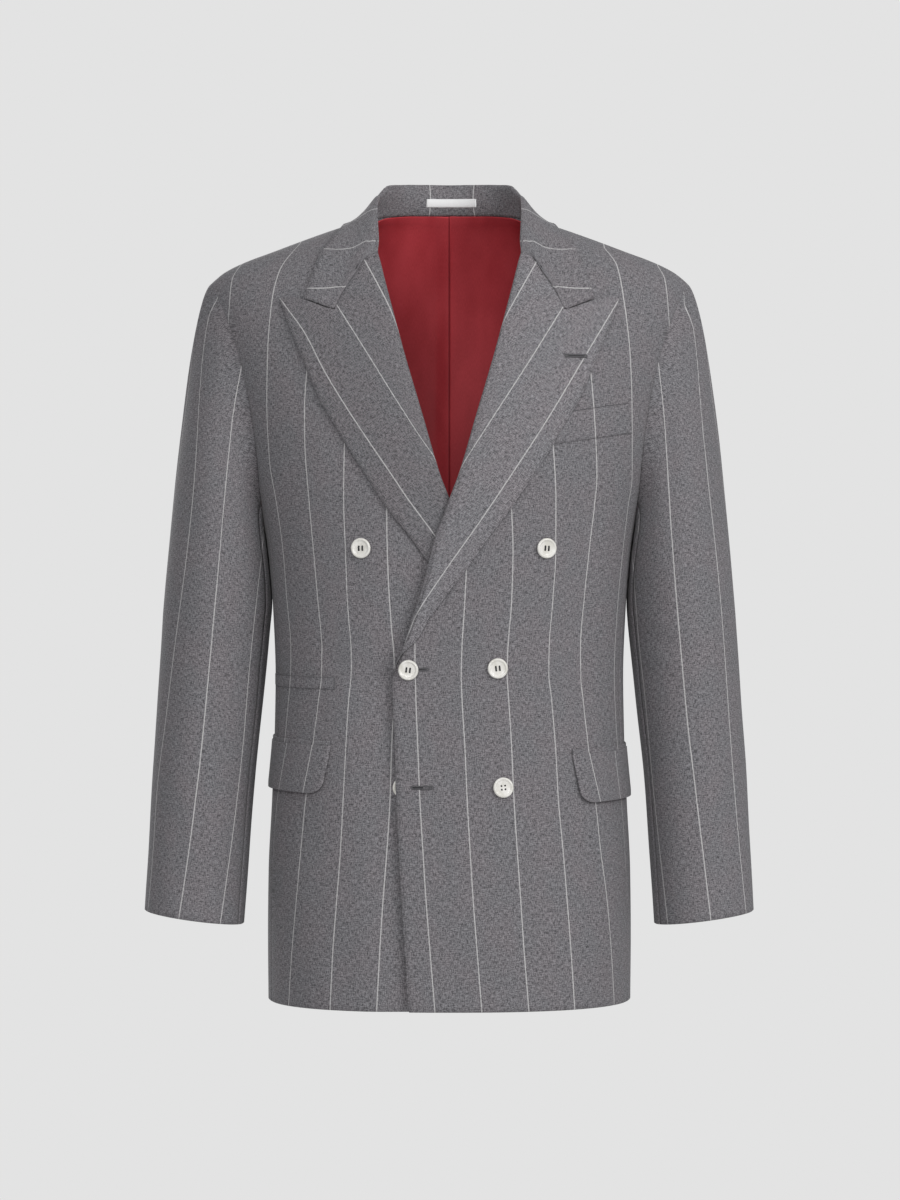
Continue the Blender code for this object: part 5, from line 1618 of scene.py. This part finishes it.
def fall_counts(side, stations, sections):
    """Stripe counts of the fall: even from the back to the front's upper stripe."""
    start = COLLAR_MIDDLE - side * COLLAR_SHIFT / COLLAR_PITCH
    first = station_at(COLLAR_PITCH / 2 + side * COLLAR_SHIFT)
    low = max(i for i, station in enumerate(stations) if station <= first)
    part = (first - stations[low]) / (stations[low + 1] - stations[low])
    grid = [list(column) for column in zip(*[section[STAND_STEPS:] for section in sections])]
    places = []
    for column in grid:
        above = [p.z - LEAF.at(abs(p.x), "upper") for p in column]
        last = max(i for i in range(len(above) - 1)
                   if above[i] > 0 >= above[i + 1] or stations[i] < 4.9)
        places.append(last + max(0.0, above[last]) / max(1e-6, above[last] - above[last + 1]))
    # The upper stripe is straight, as at the fold, also where the fall lies level.
    fitted = places[:UPPER_FIT]
    middle = sum(range(UPPER_FIT)) / UPPER_FIT
    mean = sum(fitted) / UPPER_FIT
    grade = (sum((k - middle) * (place - mean) for k, place in enumerate(fitted))
             / sum((k - middle) ** 2 for k in range(UPPER_FIT)))
    columns = []
    for k, column in enumerate(grid):
        arcs = arcs_of(column)
        near = arcs[low] + (arcs[low + 1] - arcs[low]) * part
        place = mean + grade * (k - middle)
        place = places[k] + (place - places[k]) * blend_at(UPPER_FIT * 0.4, UPPER_FIT, k)
        whole = int(place)
        far = arcs[whole] + (arcs[whole + 1] - arcs[whole]) * (place - whole)
        slip = 6 - leaf_count(column[whole].lerp(column[whole + 1], place - whole))
        counts = []
        for point, arc in zip(column, arcs):
            if arc <= near:
                count = start + (4 - start) * arc / near
            elif arc <= far:
                count = 4 + 2 * (arc - near) / (far - near)
            else:
                fade = 1 - smooth_step((arc - far) / SLIP_REACH)
                count = leaf_count(point) + slip * fade
            counts.append(on_side(count, side))
        columns.append(counts)
    return [list(row) for row in zip(*columns)]


def neck_arcs():
    rows = []
    total = 0.0
    before = neck_point(0)
    for k in range(181):
        station = GORGE_STATION * k / 180
        here = neck_point(station)
        total += (here - before).length
        before = here
        if k % 5 == 0:
            rows.append((station, total))
    return Table(("station", "arc"), rows)


COLLAR_ARCS = neck_arcs()


def station_at(arc):
    return bisect(0.0, GORGE_STATION, lambda station: COLLAR_ARCS.at(station, "arc") - arc)


def both_halves(values):
    """Values from one end of the collar to the other, from those of each half."""
    return values(-1)[:0:-1] + values(1)


def build_collar():
    whole = COLLAR_ARCS.at(GORGE_STATION, "arc")
    stations = [station_at(whole * k / COLLAR_HALF) for k in range(1, COLLAR_HALF)]
    stations = [0.0] + stations + [float(GORGE_STATION)]
    seams, sections = (list(part) for part in zip(*map(collar_section, stations)))
    fall = both_halves(lambda side: fall_counts(side, stations, sections))
    stand = both_halves(lambda side: [stand_count(side, station) for station in stations])
    face = mirrored(sections[:0:-1]) + sections
    outer = mirrored([seams[:0:-1]])[0] + seams
    last = len(face) - 1
    edge = len(face[0]) - 1
    backing = []
    for r, row in enumerate(face):
        line = []
        for c, point in enumerate(row):
            along = face[min(r + 1, last)][c] - face[max(r - 1, 0)][c]
            up = row[min(c + 1, edge)] - row[max(c - 1, 0)]
            line.append(point - along.cross(up).normalized() * COLLAR_CLOTH)
        line[0] = outer[r]
        backing.append(line)
    for r in (0, last):
        for k in range(STAND_STEPS, STAND_STEPS + FALL_STEPS + 1):
            backing[r][k] = face[r][k] - body_normal(face[r][k]) * LAPEL_CLOTH
    round_neck = arcs_of([row[STAND_STEPS + FALL_STEPS // 2] for row in face])
    uv = []
    stand_uv = []
    weave = []
    for r, row in enumerate(face):
        lengths = arcs_of(row)
        numbers = [fall[r][0]] * STAND_STEPS + fall[r]
        uv.append([(n * STRIPE_PITCH, v) for n, v in zip(numbers, lengths)])
        stand_uv.append([(stand[r] * STRIPE_PITCH, v) for v in lengths])
        weave.append([(round_neck[r], v) for v in lengths])
    piece = shell("cloth_collar", face, backing, uv, (WOOL,), ("right", "corner"),
                  first=(STAND_STEPS, stand_uv), weave=weave)
    place(piece, "collar", "wool_cloth", (face, ["cloth_back_left", "cloth_back_right"]))
    pick_stitches("stitches_collar", edge_path(face, -1, 1, last - 1))


def stand_spot(x, share, lift):
    """A point on the inner side of the stand, by distance across."""
    station = bisect(0.0, 5.0, lambda s: neck_point(s).x - abs(x))
    _, face = collar_section(station)
    at = share * STAND_STEPS
    low = int(at)
    spot = face[low].lerp(face[low + 1], at - low)
    inward = Vector((0, -1, 0.12)).normalized()
    return Vector((math.copysign(spot.x, x), spot.y, spot.z)) + inward * lift


LABEL_ENDS = (-0.0248, 0.0291)
LABEL_SHARES = (0.30, 0.24)     # its foot and height, as shares of the stand
LABEL_FACE = 0.0012
LABEL_BACK = 0.0004
LABEL_PUFF = 0.0003


def build_label():
    low, high = LABEL_ENDS
    foot, height = LABEL_SHARES

    def at(r, c):
        share = foot + height * r / LABEL_ROWS
        x = low + (high - low) * c / LABEL_COLUMNS
        puff = LABEL_PUFF * math.sin(math.pi * r / LABEL_ROWS)
        return stand_spot(x, share, LABEL_FACE + puff), stand_spot(x, share, LABEL_BACK)
    face, backing = two_grids(range(LABEL_ROWS + 1), range(LABEL_COLUMNS + 1), at)
    uv = [[(p.x, p.z) for p in row] for row in face]
    piece = shell("woven_label", face, backing, uv, (LABEL,), ("left", "right", "top", "bottom"),
                  bulge=THIN_BULGE)
    place(piece, "label", "white_label", (face, ["cloth_collar"]))
    stitches = []
    for end in (low + 0.001, high - 0.001):
        for k in range(7):
            share = 0.315 + 0.21 * k / 6
            stitches.append([stand_spot(end, up, 0.0014) for up in (share, share + 0.020)])
    threads("label_stitches", stitches, 0.00022, LABEL_THREAD, "white_label")


# --------------------------------------------------------------------------
# Pockets
# --------------------------------------------------------------------------
CROWN = 0.0004


def pocket_grid(pocket, rear, rows, columns, shape, lifts):
    """Face and backing points of a piece that lies on the body."""
    slant, corner, flare = shape
    low_lift, thickness = lifts
    side = pocket["side"]
    height = pocket["height"]

    def at(r, c):
        share = r / rows
        rounding = 0.0
        if corner:
            share = 1 - (1 - share) ** 1.5 if share > 0 else 0.0
            into = share * height - (height - corner)
            if into > 0:
                rounding = corner - math.sqrt(max(0.0, corner ** 2 - into ** 2))
        level = pocket["top_inner"] - height * share
        start = angle_of(pocket["inner"] + slant * share + rounding, level)
        angle = start + (rear - start) * (c / columns) ** 1.1
        part = min(1.0, (angle - start) / (math.pi / 2 - start))
        z = level + (pocket["top_side"] - pocket["top_inner"]) * part
        point = point_at(angle, z)
        if abs(angle - math.pi / 2) < ANGLE_STEP:
            point.y = -1e-9
        normal = body_normal(point)
        edge = min(c / columns * 18, 1.0) * min(1.0, (1 - share) * 9)
        folds = front_relief(side * point.x, z) * (1 - blend_at(1.1, 1.35, angle))
        lift = low_lift + flare * share + folds
        face = point + normal * (lift + thickness - CROWN + CROWN * edge)
        return face, point + normal * lift
    face, backing = two_grids(range(rows, -1, -1), range(columns + 1), at)
    if side < 0:
        return mirrored(face), mirrored(backing)
    return face, backing


def pocket_piece(name, node, pocket, rear, rows, columns, shape, lifts, stripes, free, inside=None):
    face, backing = pocket_grid(pocket, rear, rows, columns, shape, lifts)
    counts = [stripe_count(row, stripes, pocket["side"]) for row in face]
    piece = shell(name, face, backing, cloth_map(face, counts), (WOOL, LINING), free, inside,
                  POCKET_BULGE)
    word = "left" if pocket["side"] > 0 else "right"
    place(piece, node, "wool_cloth", (face, ["cloth_front_" + word]))
    return face


def mouth_line(name, *paths):
    """A dark line where a pocket's edge meets the cloth: painted shade in the pocket's opening, and
    a dark seam where a welt's end is sewn down.
    """
    ends = []
    for path in paths:
        spots = [p + body_normal(p) * 0.0001 for p in path]
        ends += zip(spots, spots[1:])
    threads(name, ends, 0.00030)


FLAT = (0.0, 0.0, 0.0)
WELT_EDGES = ("bottom", "left", "top")
JET_HEIGHT = 0.0042


def build_pockets():
    for pocket, word, flap_stripes, stripes in (
            (LEFT_FLAP, "left", LEFT_FLAP_STRIPES, LEFT_STRIPES),
            (RIGHT_FLAP, "right", RIGHT_FLAP_STRIPES, RIGHT_STRIPES)):
        pocket_piece("cloth_flap_" + word, "flap_" + word, pocket, FLAP_REAR, 34, 40,
                     (0.0085, 0.0110, 0.0024), (0.0005, 0.0019), flap_stripes,
                     ("bottom", "left", "corner"), lambda r, c: 1)
        jet = dict(pocket, height=JET_HEIGHT)
        for edge in ("top_inner", "top_side"):
            jet[edge] += JET_HEIGHT + SEAM_GAP
        pocket_piece("cloth_jet_" + word, "jet_" + word, jet, FLAP_REAR, 6, 40, FLAT,
                     (0.0003, 0.0013), stripes, WELT_EDGES)
    face = pocket_piece("cloth_ticket_welt", "ticket_welt", TICKET_WELT, TICKET_REAR, 8, 30, FLAT,
                        (0.0002, 0.0012), RIGHT_STRIPES, WELT_EDGES)
    mouth_line("ticket_pocket_mouth", face[-1], [row[0] for row in face])


def build_breast_welt():
    (x0, z0), (x1, z1) = BREAST_INNER, BREAST_OUTER

    def at(r, c):
        along = c / BREAST_COLUMNS
        x = x0 + (x1 - x0) * along - BREAST_LEAN * r / BREAST_ROWS
        z = z0 + (z1 - z0) * along + BREAST_HEIGHT * r / BREAST_ROWS
        edge = min(1.0, r / 2, (BREAST_ROWS - r) / 2, (BREAST_COLUMNS - c) / 2)
        lift = 0.0007 + 0.0007 * edge - 0.0002 * r / BREAST_ROWS
        return front_face(1, x, z, lift), front_face(1, x, z, 0.0001)
    face, backing = two_grids(range(BREAST_ROWS + 1), range(BREAST_COLUMNS + 1), at)
    counts = [stripe_count(row, LEFT_STRIPES, 1) for row in face]
    piece = shell("cloth_breast_welt", face, backing, cloth_map(face, counts), (WOOL,),
                  ("right",), bulge=THIN_BULGE)
    place(piece, "breast_welt", "wool_cloth", (face, ["cloth_front_left"]))
    mouth_line("breast_pocket_mouth", face[-1][BREAST_COLUMNS // 3:])


# --------------------------------------------------------------------------
# Back lining
# --------------------------------------------------------------------------
LINING_FOOT = -0.744
LINING_REACH = 0.96
LINING_CLOTH = 0.0010
LINING_SINK = 0.0042            # how far it hangs inside the back, and less at the neck
NECK_SINK = 0.0030
PLEAT_WIDTH = 0.016
PLEAT_DEPTH = 0.0042


def build_lining():
    reaches = []
    for r in range(LINING_ROWS):
        level = LINING_FOOT + (NOTCH_LINE - LINING_FOOT) * r / LINING_ROWS
        reaches.append((level, across_at(SIDE_SEAM_BACK, level) * LINING_REACH))
    for row in range(1, HIGH_ROWS + 1):
        reaches.append((None, row_across(armhole_angle(row, True), row, True) * LINING_REACH))

    def at(r, c):
        level, reach = reaches[r]
        row = r - LINING_ROWS + 1
        share = c / LINING_HALF
        x = math.copysign(abs(share) ** 1.35, share) * reach
        z = row_height(x, row, True) if level is None else level
        top = blend_at(HIGH_ROWS - 8, HIGH_ROWS, row) if level is None else 0.0
        point = body_point(x, z, back=True)
        if row == HIGH_ROWS:
            point.y = max(point.y, 0.004)
            point.z += 0.0016 * (1 - blend_at(NECK_POINT - 0.014, NECK_POINT, abs(x)))
        pleat = PLEAT_DEPTH * smooth_step((x + PLEAT_WIDTH) / PLEAT_WIDTH) if x <= 0.0 else 0.0
        pleat += 0.0007 * math.exp(-((x - 0.012) / 0.010) ** 2)
        pleat += 0.0012 * math.exp(-((abs(x) - 0.050) / 0.020) ** 2) * (1 - top)
        pleat *= 1 - 0.6 * top
        neck = 1 - blend_at(NECK_POINT - 0.020, NECK_POINT + 0.005, abs(x))
        sink = LINING_SINK + (NECK_SINK - LINING_SINK) * top * neck
        wave = 0.0006 * math.sin(x * 70 + 0.6) * math.sin(z * 26) * (1 - top)
        normal = body_normal(point)
        return (point - normal * (sink + pleat + wave + LINING_CLOTH),
                point - normal * (sink + pleat * 0.3 + wave))
    face, backing = two_grids(range(LINING_ROWS + HIGH_ROWS),
                              range(-LINING_HALF, LINING_HALF + 1), at)
    counts = []
    for row in face:
        arcs = arcs_of(row)
        counts.append([(arc - arcs[LINING_HALF]) / STRIPE_PITCH for arc in arcs])
    piece = shell("lining_back", face, backing, cloth_map(face, counts), (LINING_WITH_PAINTED_PLEAT_SHADE,),
                  ("bottom",), bulge=LINING_BULGE, crisp=("top",))
    place(piece, "back_lining", "red_lining", (face, ["cloth_back_left", "cloth_back_right"]))


# --------------------------------------------------------------------------
# Buttons, buttonholes and stitches
# --------------------------------------------------------------------------
CAPSULE_RINGS = ((0.0, 0.5), (0.18, 1.0), (0.82, 1.0), (1.0, 0.5))


def capsule(bm, start, end, radius, sides=6):
    """A thread with tapered ends."""
    axis = end - start
    length = axis.length
    axis.normalize()
    across = axis.orthogonal().normalized()
    other = axis.cross(across)
    rings = []
    for along, size in CAPSULE_RINGS:
        ring = []
        for k in range(sides):
            angle = 2 * math.pi * k / sides
            ray = across * math.cos(angle) + other * math.sin(angle)
            ring.append(bm.verts.new(start + axis * length * along + ray * radius * size))
        rings.append(ring)
    for low, high in zip(rings, rings[1:]):
        for k in range(sides):
            bm.faces.new((low[k], low[(k + 1) % sides], high[(k + 1) % sides], high[k]))
    bm.faces.new(rings[0][::-1])
    bm.faces.new(rings[-1])


def finish_mesh(bm, name, look):
    bmesh.ops.recalc_face_normals(bm, faces=bm.faces)
    for face in bm.faces:
        face.smooth = True
    return mesh_object(bm, name, (look,))


def threads(name, ends, radius, look=HOLE_THREAD, slot="wool_cloth"):
    """Sewn threads as one piece, from the two ends of each."""
    bm = bmesh.new()
    for start, end in ends:
        capsule(bm, start, end, radius)
    place(finish_mesh(bm, name, look), None, slot)


STITCH_STEP = 0.0034
STITCH_LENGTH = 0.0011
STITCH_RADIUS = 0.00022


def edge_path(face, column, first, last, inset=0.0018):
    """A line on a grid, a little way in from its edge column."""
    inner = 1 if column == 0 else column - 1
    path = []
    for r in range(first, last + 1):
        edge = face[r][column]
        inward = (face[r][inner] - edge).normalized()
        upward = (face[min(r + 1, last)][column] - face[max(r - 1, 0)][column]).normalized()
        out = upward.cross(inward).normalized()
        if out.dot(body_normal(edge)) < 0:
            out.negate()
        path.append(edge + inward * inset + out * 0.0001)
    return path


def pick_stitches(name, path):
    """A row of small hand stitches along a path."""
    arcs = arcs_of(path)

    def at(arc):
        low = 0
        while low < len(arcs) - 2 and arcs[low + 1] < arc:
            low += 1
        return path[low].lerp(path[low + 1], (arc - arcs[low]) / (arcs[low + 1] - arcs[low]))
    count = int((arcs[-1] - STITCH_LENGTH) / STITCH_STEP)
    ends = [(at(k * STITCH_STEP), at(k * STITCH_STEP + STITCH_LENGTH)) for k in range(count)]
    threads(name, ends, STITCH_RADIUS)


def lathe(profile, sides):
    bm = bmesh.new()
    rings = []
    for radius, height in profile:
        turns = [2 * math.pi * k / sides for k in range(sides if radius else 1)]
        rings.append([bm.verts.new((radius * math.cos(turn), radius * math.sin(turn), height))
                      for turn in turns])
    for low, high in zip(rings, rings[1:]):
        for k in range(sides):
            after = (k + 1) % sides
            corners = [low[k % len(low)], low[after % len(low)],
                       high[after % len(high)], high[k % len(high)]]
            bm.faces.new(list(dict.fromkeys(corners)))
    return bm


BUTTON_PROFILE = (
    (0.0, 0.0), (0.0072, 0.0), (0.0088, 0.0005), (0.0096, 0.0013), (0.0097, 0.0019),
    (0.0094, 0.0026), (0.0089, 0.0030), (0.0083, 0.0032), (0.0077, 0.0031), (0.0072, 0.0027),
    (0.0068, 0.0024), (0.0062, 0.0023), (0.0040, 0.0022), (0.0018, 0.0022), (0.0, 0.0022),
)
HOLE_SPREAD = 0.00175
HOLE_RADIUS = 0.00085


def pierced_button():
    """The button's mesh with its four holes cut through."""
    whole = finish_mesh(lathe(BUTTON_PROFILE, 56), "button_whole", PEARL)
    bm = bmesh.new()
    for side_x in (-1, 1):
        for side_z in (-1, 1):
            shift = Matrix.Translation((side_x * HOLE_SPREAD, side_z * HOLE_SPREAD, 0.0015))
            bmesh.ops.create_cone(bm, cap_ends=True, segments=16, radius1=HOLE_RADIUS,
                                  radius2=HOLE_RADIUS * 1.15, depth=0.006, matrix=shift)
    pins = finish_mesh(bm, "button_pins", PEARL)
    cut = whole.modifiers.new("holes", "BOOLEAN")
    cut.operation = "DIFFERENCE"
    cut.solver = "EXACT"
    cut.object = pins
    bpy.context.view_layer.update()
    done = whole.evaluated_get(bpy.context.evaluated_depsgraph_get())
    mesh = bpy.data.meshes.new_from_object(done)
    mesh.name = "button"
    bpy.data.objects.remove(pins)
    bpy.data.objects.remove(whole)
    mesh.set_sharp_from_angle(angle=math.radians(38))
    return mesh


def build_buttons():
    mesh = pierced_button()
    for name, x, z, carrier, sewn in BUTTONS:
        point = body_point(x, z)
        normal = body_normal(point)
        point = point + normal * front_relief(x, z)
        if carrier == "under":
            point = point - normal * recess(x, z)
        across = Vector((0, 0, 1)).cross(normal).normalized()
        upright = normal.cross(across)
        tilt = Matrix.Rotation(math.radians(7 * math.sin(40 * x)), 4, "Z")
        turn = Matrix((across, upright, normal)).transposed().to_4x4()
        spot = Matrix.Translation(point + normal * 0.0006) @ turn @ tilt
        button = bpy.data.objects.new("pearl_" + name, mesh.copy())
        bpy.context.scene.collection.objects.link(button)
        button.data.transform(spot)
        place(button, name, "pearl_button")
        outward, sideways = (spot.to_3x3() @ Vector(axis) for axis in ((0, 0, 1), (1, 0, 0)))
        ends = []
        for side in (-1, 1):
            low, high = (spot @ Vector((side * HOLE_SPREAD, end, 0.0019))
                         for end in (-HOLE_SPREAD - 0.0006, HOLE_SPREAD + 0.0006))
            if sewn:
                lift = outward * 0.0006
                slip = sideways * 0.00028
                for shift in (-1, 1):
                    ends.append((low + lift + slip * shift, high + lift + slip * shift))
            else:
                down = outward * 0.0012
                ends += [(end - down, end - down * 0.1) for end in (low, high)]
        threads("thread_" + name, ends, 0.00052 if sewn else 0.0007, DARK_THREAD)
        threads("shank_" + name, [(point - normal * 0.0004, point + normal * 0.0022)], 0.0013,
                DARK_THREAD)


HOLE_LENGTH = 0.0190
HOLE_STITCHES = 30


def buttonhole(name, x, z, lift, slit):
    """A worked buttonhole: close stitches round a slit with an eyelet end."""
    bm = bmesh.new()
    half = HOLE_LENGTH / 2
    widen = 0.00025 if slit else 0.0

    def at(u, v, w):
        return front_face(1, x + u, z + v, lift + w)
    for k in range(HOLE_STITCHES + 1):
        u = -half + HOLE_LENGTH * k / HOLE_STITCHES
        for side in (-1, 1):
            capsule(bm, at(u, side * (0.00020 + widen), 0.0002),
                    at(u + 0.00008, side * (0.00180 + widen), 0.0001),
                    HOLE_LENGTH / HOLE_STITCHES * 0.62, 5)
    for k in range(13):
        angle = math.pi * k / 12 - math.pi / 2
        for end in (-1, 1):
            cu = math.cos(angle) * end
            sv = math.sin(angle)
            capsule(bm, at(end * half + cu * 0.0004, sv * 0.0004, 0.0002),
                    at(end * half + cu * 0.0014, sv * 0.00190, 0.0001), 0.00030, 5)
    place(finish_mesh(bm, name, HOLE_THREAD), None, "wool_cloth")
    # The dark thread along the middle of each buttonhole is painted shade in its slit.
    start, end, radius = (0.96, 0.1, 0.00055) if slit else (0.8, 0.8, 0.0002)
    threads(name + "_slit", [(at(-half * start, 0, 0.00015), at(half * end, 0, 0.00015))],
            radius, DARK_THREAD)


def build_buttonholes():
    buttonhole("buttonhole_lapel", 0.1190, -0.1452, 0.0050, False)
    buttonhole("buttonhole_middle", -0.0300, -0.4420, 0.0001, False)
    buttonhole("buttonhole_bottom", -0.0255, -0.5536, 0.0001, True)


def build_tacks():
    """Bar tacks at the ends of the pocket openings."""
    ends = []
    for side, x, low, high in ((1, 0.1166, -0.5225, -0.5182), (-1, 0.1123, -0.5148, -0.5104),
                               (-1, 0.1086, -0.4612, -0.4502)):
        for shift in (-0.0002, 0.0002):
            ends.append([front_face(side, x + shift, z, 0.0014) for z in (low, high)])
    threads("pocket_tacks", ends, 0.0002)


# --------------------------------------------------------------------------
# Studio
# --------------------------------------------------------------------------
LAMPS = (                       # place, aim, width and height, and power
    ("key", (2.3, -2.6, 0.9), (0.0, 0.0, -0.35), (1.7, 1.7), 55),
    ("top", (0.0, -0.8, 2.4), (0.0, 0.0, -0.3), (2.2, 1.6), 5),
    ("front", (-0.35, -4.2, 0.7), (0.0, 0.0, -0.3), (2.0, 1.6), 58),
    ("behind", (-1.6, 3.4, 0.8), (0.0, 0.0, -0.4), (2.0, 1.6), 40),
)
AMBIENT = 0.355
BACKDROP = 0.768
FLOOR_HEIGHT = -1.30
FLOOR_RADIUS = 1.9
SENSOR = 36.0
CAMERA_AWAY = 3.5
PHOTO_HEIGHT = 1.176            # 1200 pixels of 0.98 mm


def floor_look():
    """A pale floor that fades out towards its round edge."""
    n = Nodes("pale_floor")
    where = n.node("ShaderNodeTexCoord").outputs["Object"]
    far = n.node("ShaderNodeVectorMath", operation="LENGTH")
    n.link(where, far.inputs[0])
    edge = n.ramp(far.outputs["Value"], FLOOR_RADIUS * 0.55, FLOOR_RADIUS, 1.0, 0.0)
    colour = n.mix(n.noise(where, 3.0), (0.72, 0.72, 0.72), (0.75, 0.75, 0.75))
    return n.surface({"Base Color": colour, "Roughness": 0.9, "Alpha": edge})


def build_studio():
    bm = bmesh.new()
    bmesh.ops.create_circle(bm, cap_ends=True, segments=64, radius=FLOOR_RADIUS,
                            matrix=Matrix.Translation((0, 0, FLOOR_HEIGHT)))
    finish_mesh(bm, "studio_floor", floor_look())
    world = bpy.data.worlds.new("studio")
    bpy.context.scene.world = world
    world.use_nodes = True
    nodes = world.node_tree.nodes
    links = world.node_tree.links
    soft = nodes["Background"]
    soft.inputs[0].default_value = (0.97, 0.98, 1.0, 1.0)
    soft.inputs[1].default_value = AMBIENT
    seen = nodes.new("ShaderNodeBackground")
    seen.inputs[0].default_value = (BACKDROP, BACKDROP, BACKDROP, 1.0)
    path = nodes.new("ShaderNodeLightPath")
    both = nodes.new("ShaderNodeMixShader")
    links.new(path.outputs["Is Camera Ray"], both.inputs[0])
    links.new(soft.outputs[0], both.inputs[1])
    links.new(seen.outputs[0], both.inputs[2])
    links.new(both.outputs[0], nodes["World Output"].inputs[0])
    for name, spot, aim, size, power in LAMPS:
        light = bpy.data.lights.new(name, "AREA")
        light.shape = "RECTANGLE"
        light.size, light.size_y = size
        light.energy = power
        made = bpy.data.objects.new(name, light)
        made.location = spot
        made.rotation_euler = (Vector(aim) - Vector(spot)).to_track_quat("-Z", "Y").to_euler()
        made.visible_camera = False
        bpy.context.scene.collection.objects.link(made)
    camera = bpy.data.cameras.new("camera")
    camera.sensor_fit = "VERTICAL"
    camera.sensor_height = SENSOR
    camera.lens = SENSOR * CAMERA_AWAY / PHOTO_HEIGHT
    view = bpy.data.objects.new("camera", camera)
    view.location = (0.0006, -CAMERA_AWAY, -0.3763)
    view.rotation_euler = (math.radians(90), 0, 0)
    bpy.context.scene.collection.objects.link(view)
    bpy.context.scene.camera = view
    bpy.context.scene.view_settings.view_transform = "Standard"


build_studio()
build_fronts()
build_sides()
build_backs()
build_sleeves()
build_lapels()
build_collar()
build_label()
build_pockets()
build_breast_welt()
build_lining()
build_buttons()
build_buttonholes()
build_tacks()
bpy.context.view_layer.update()
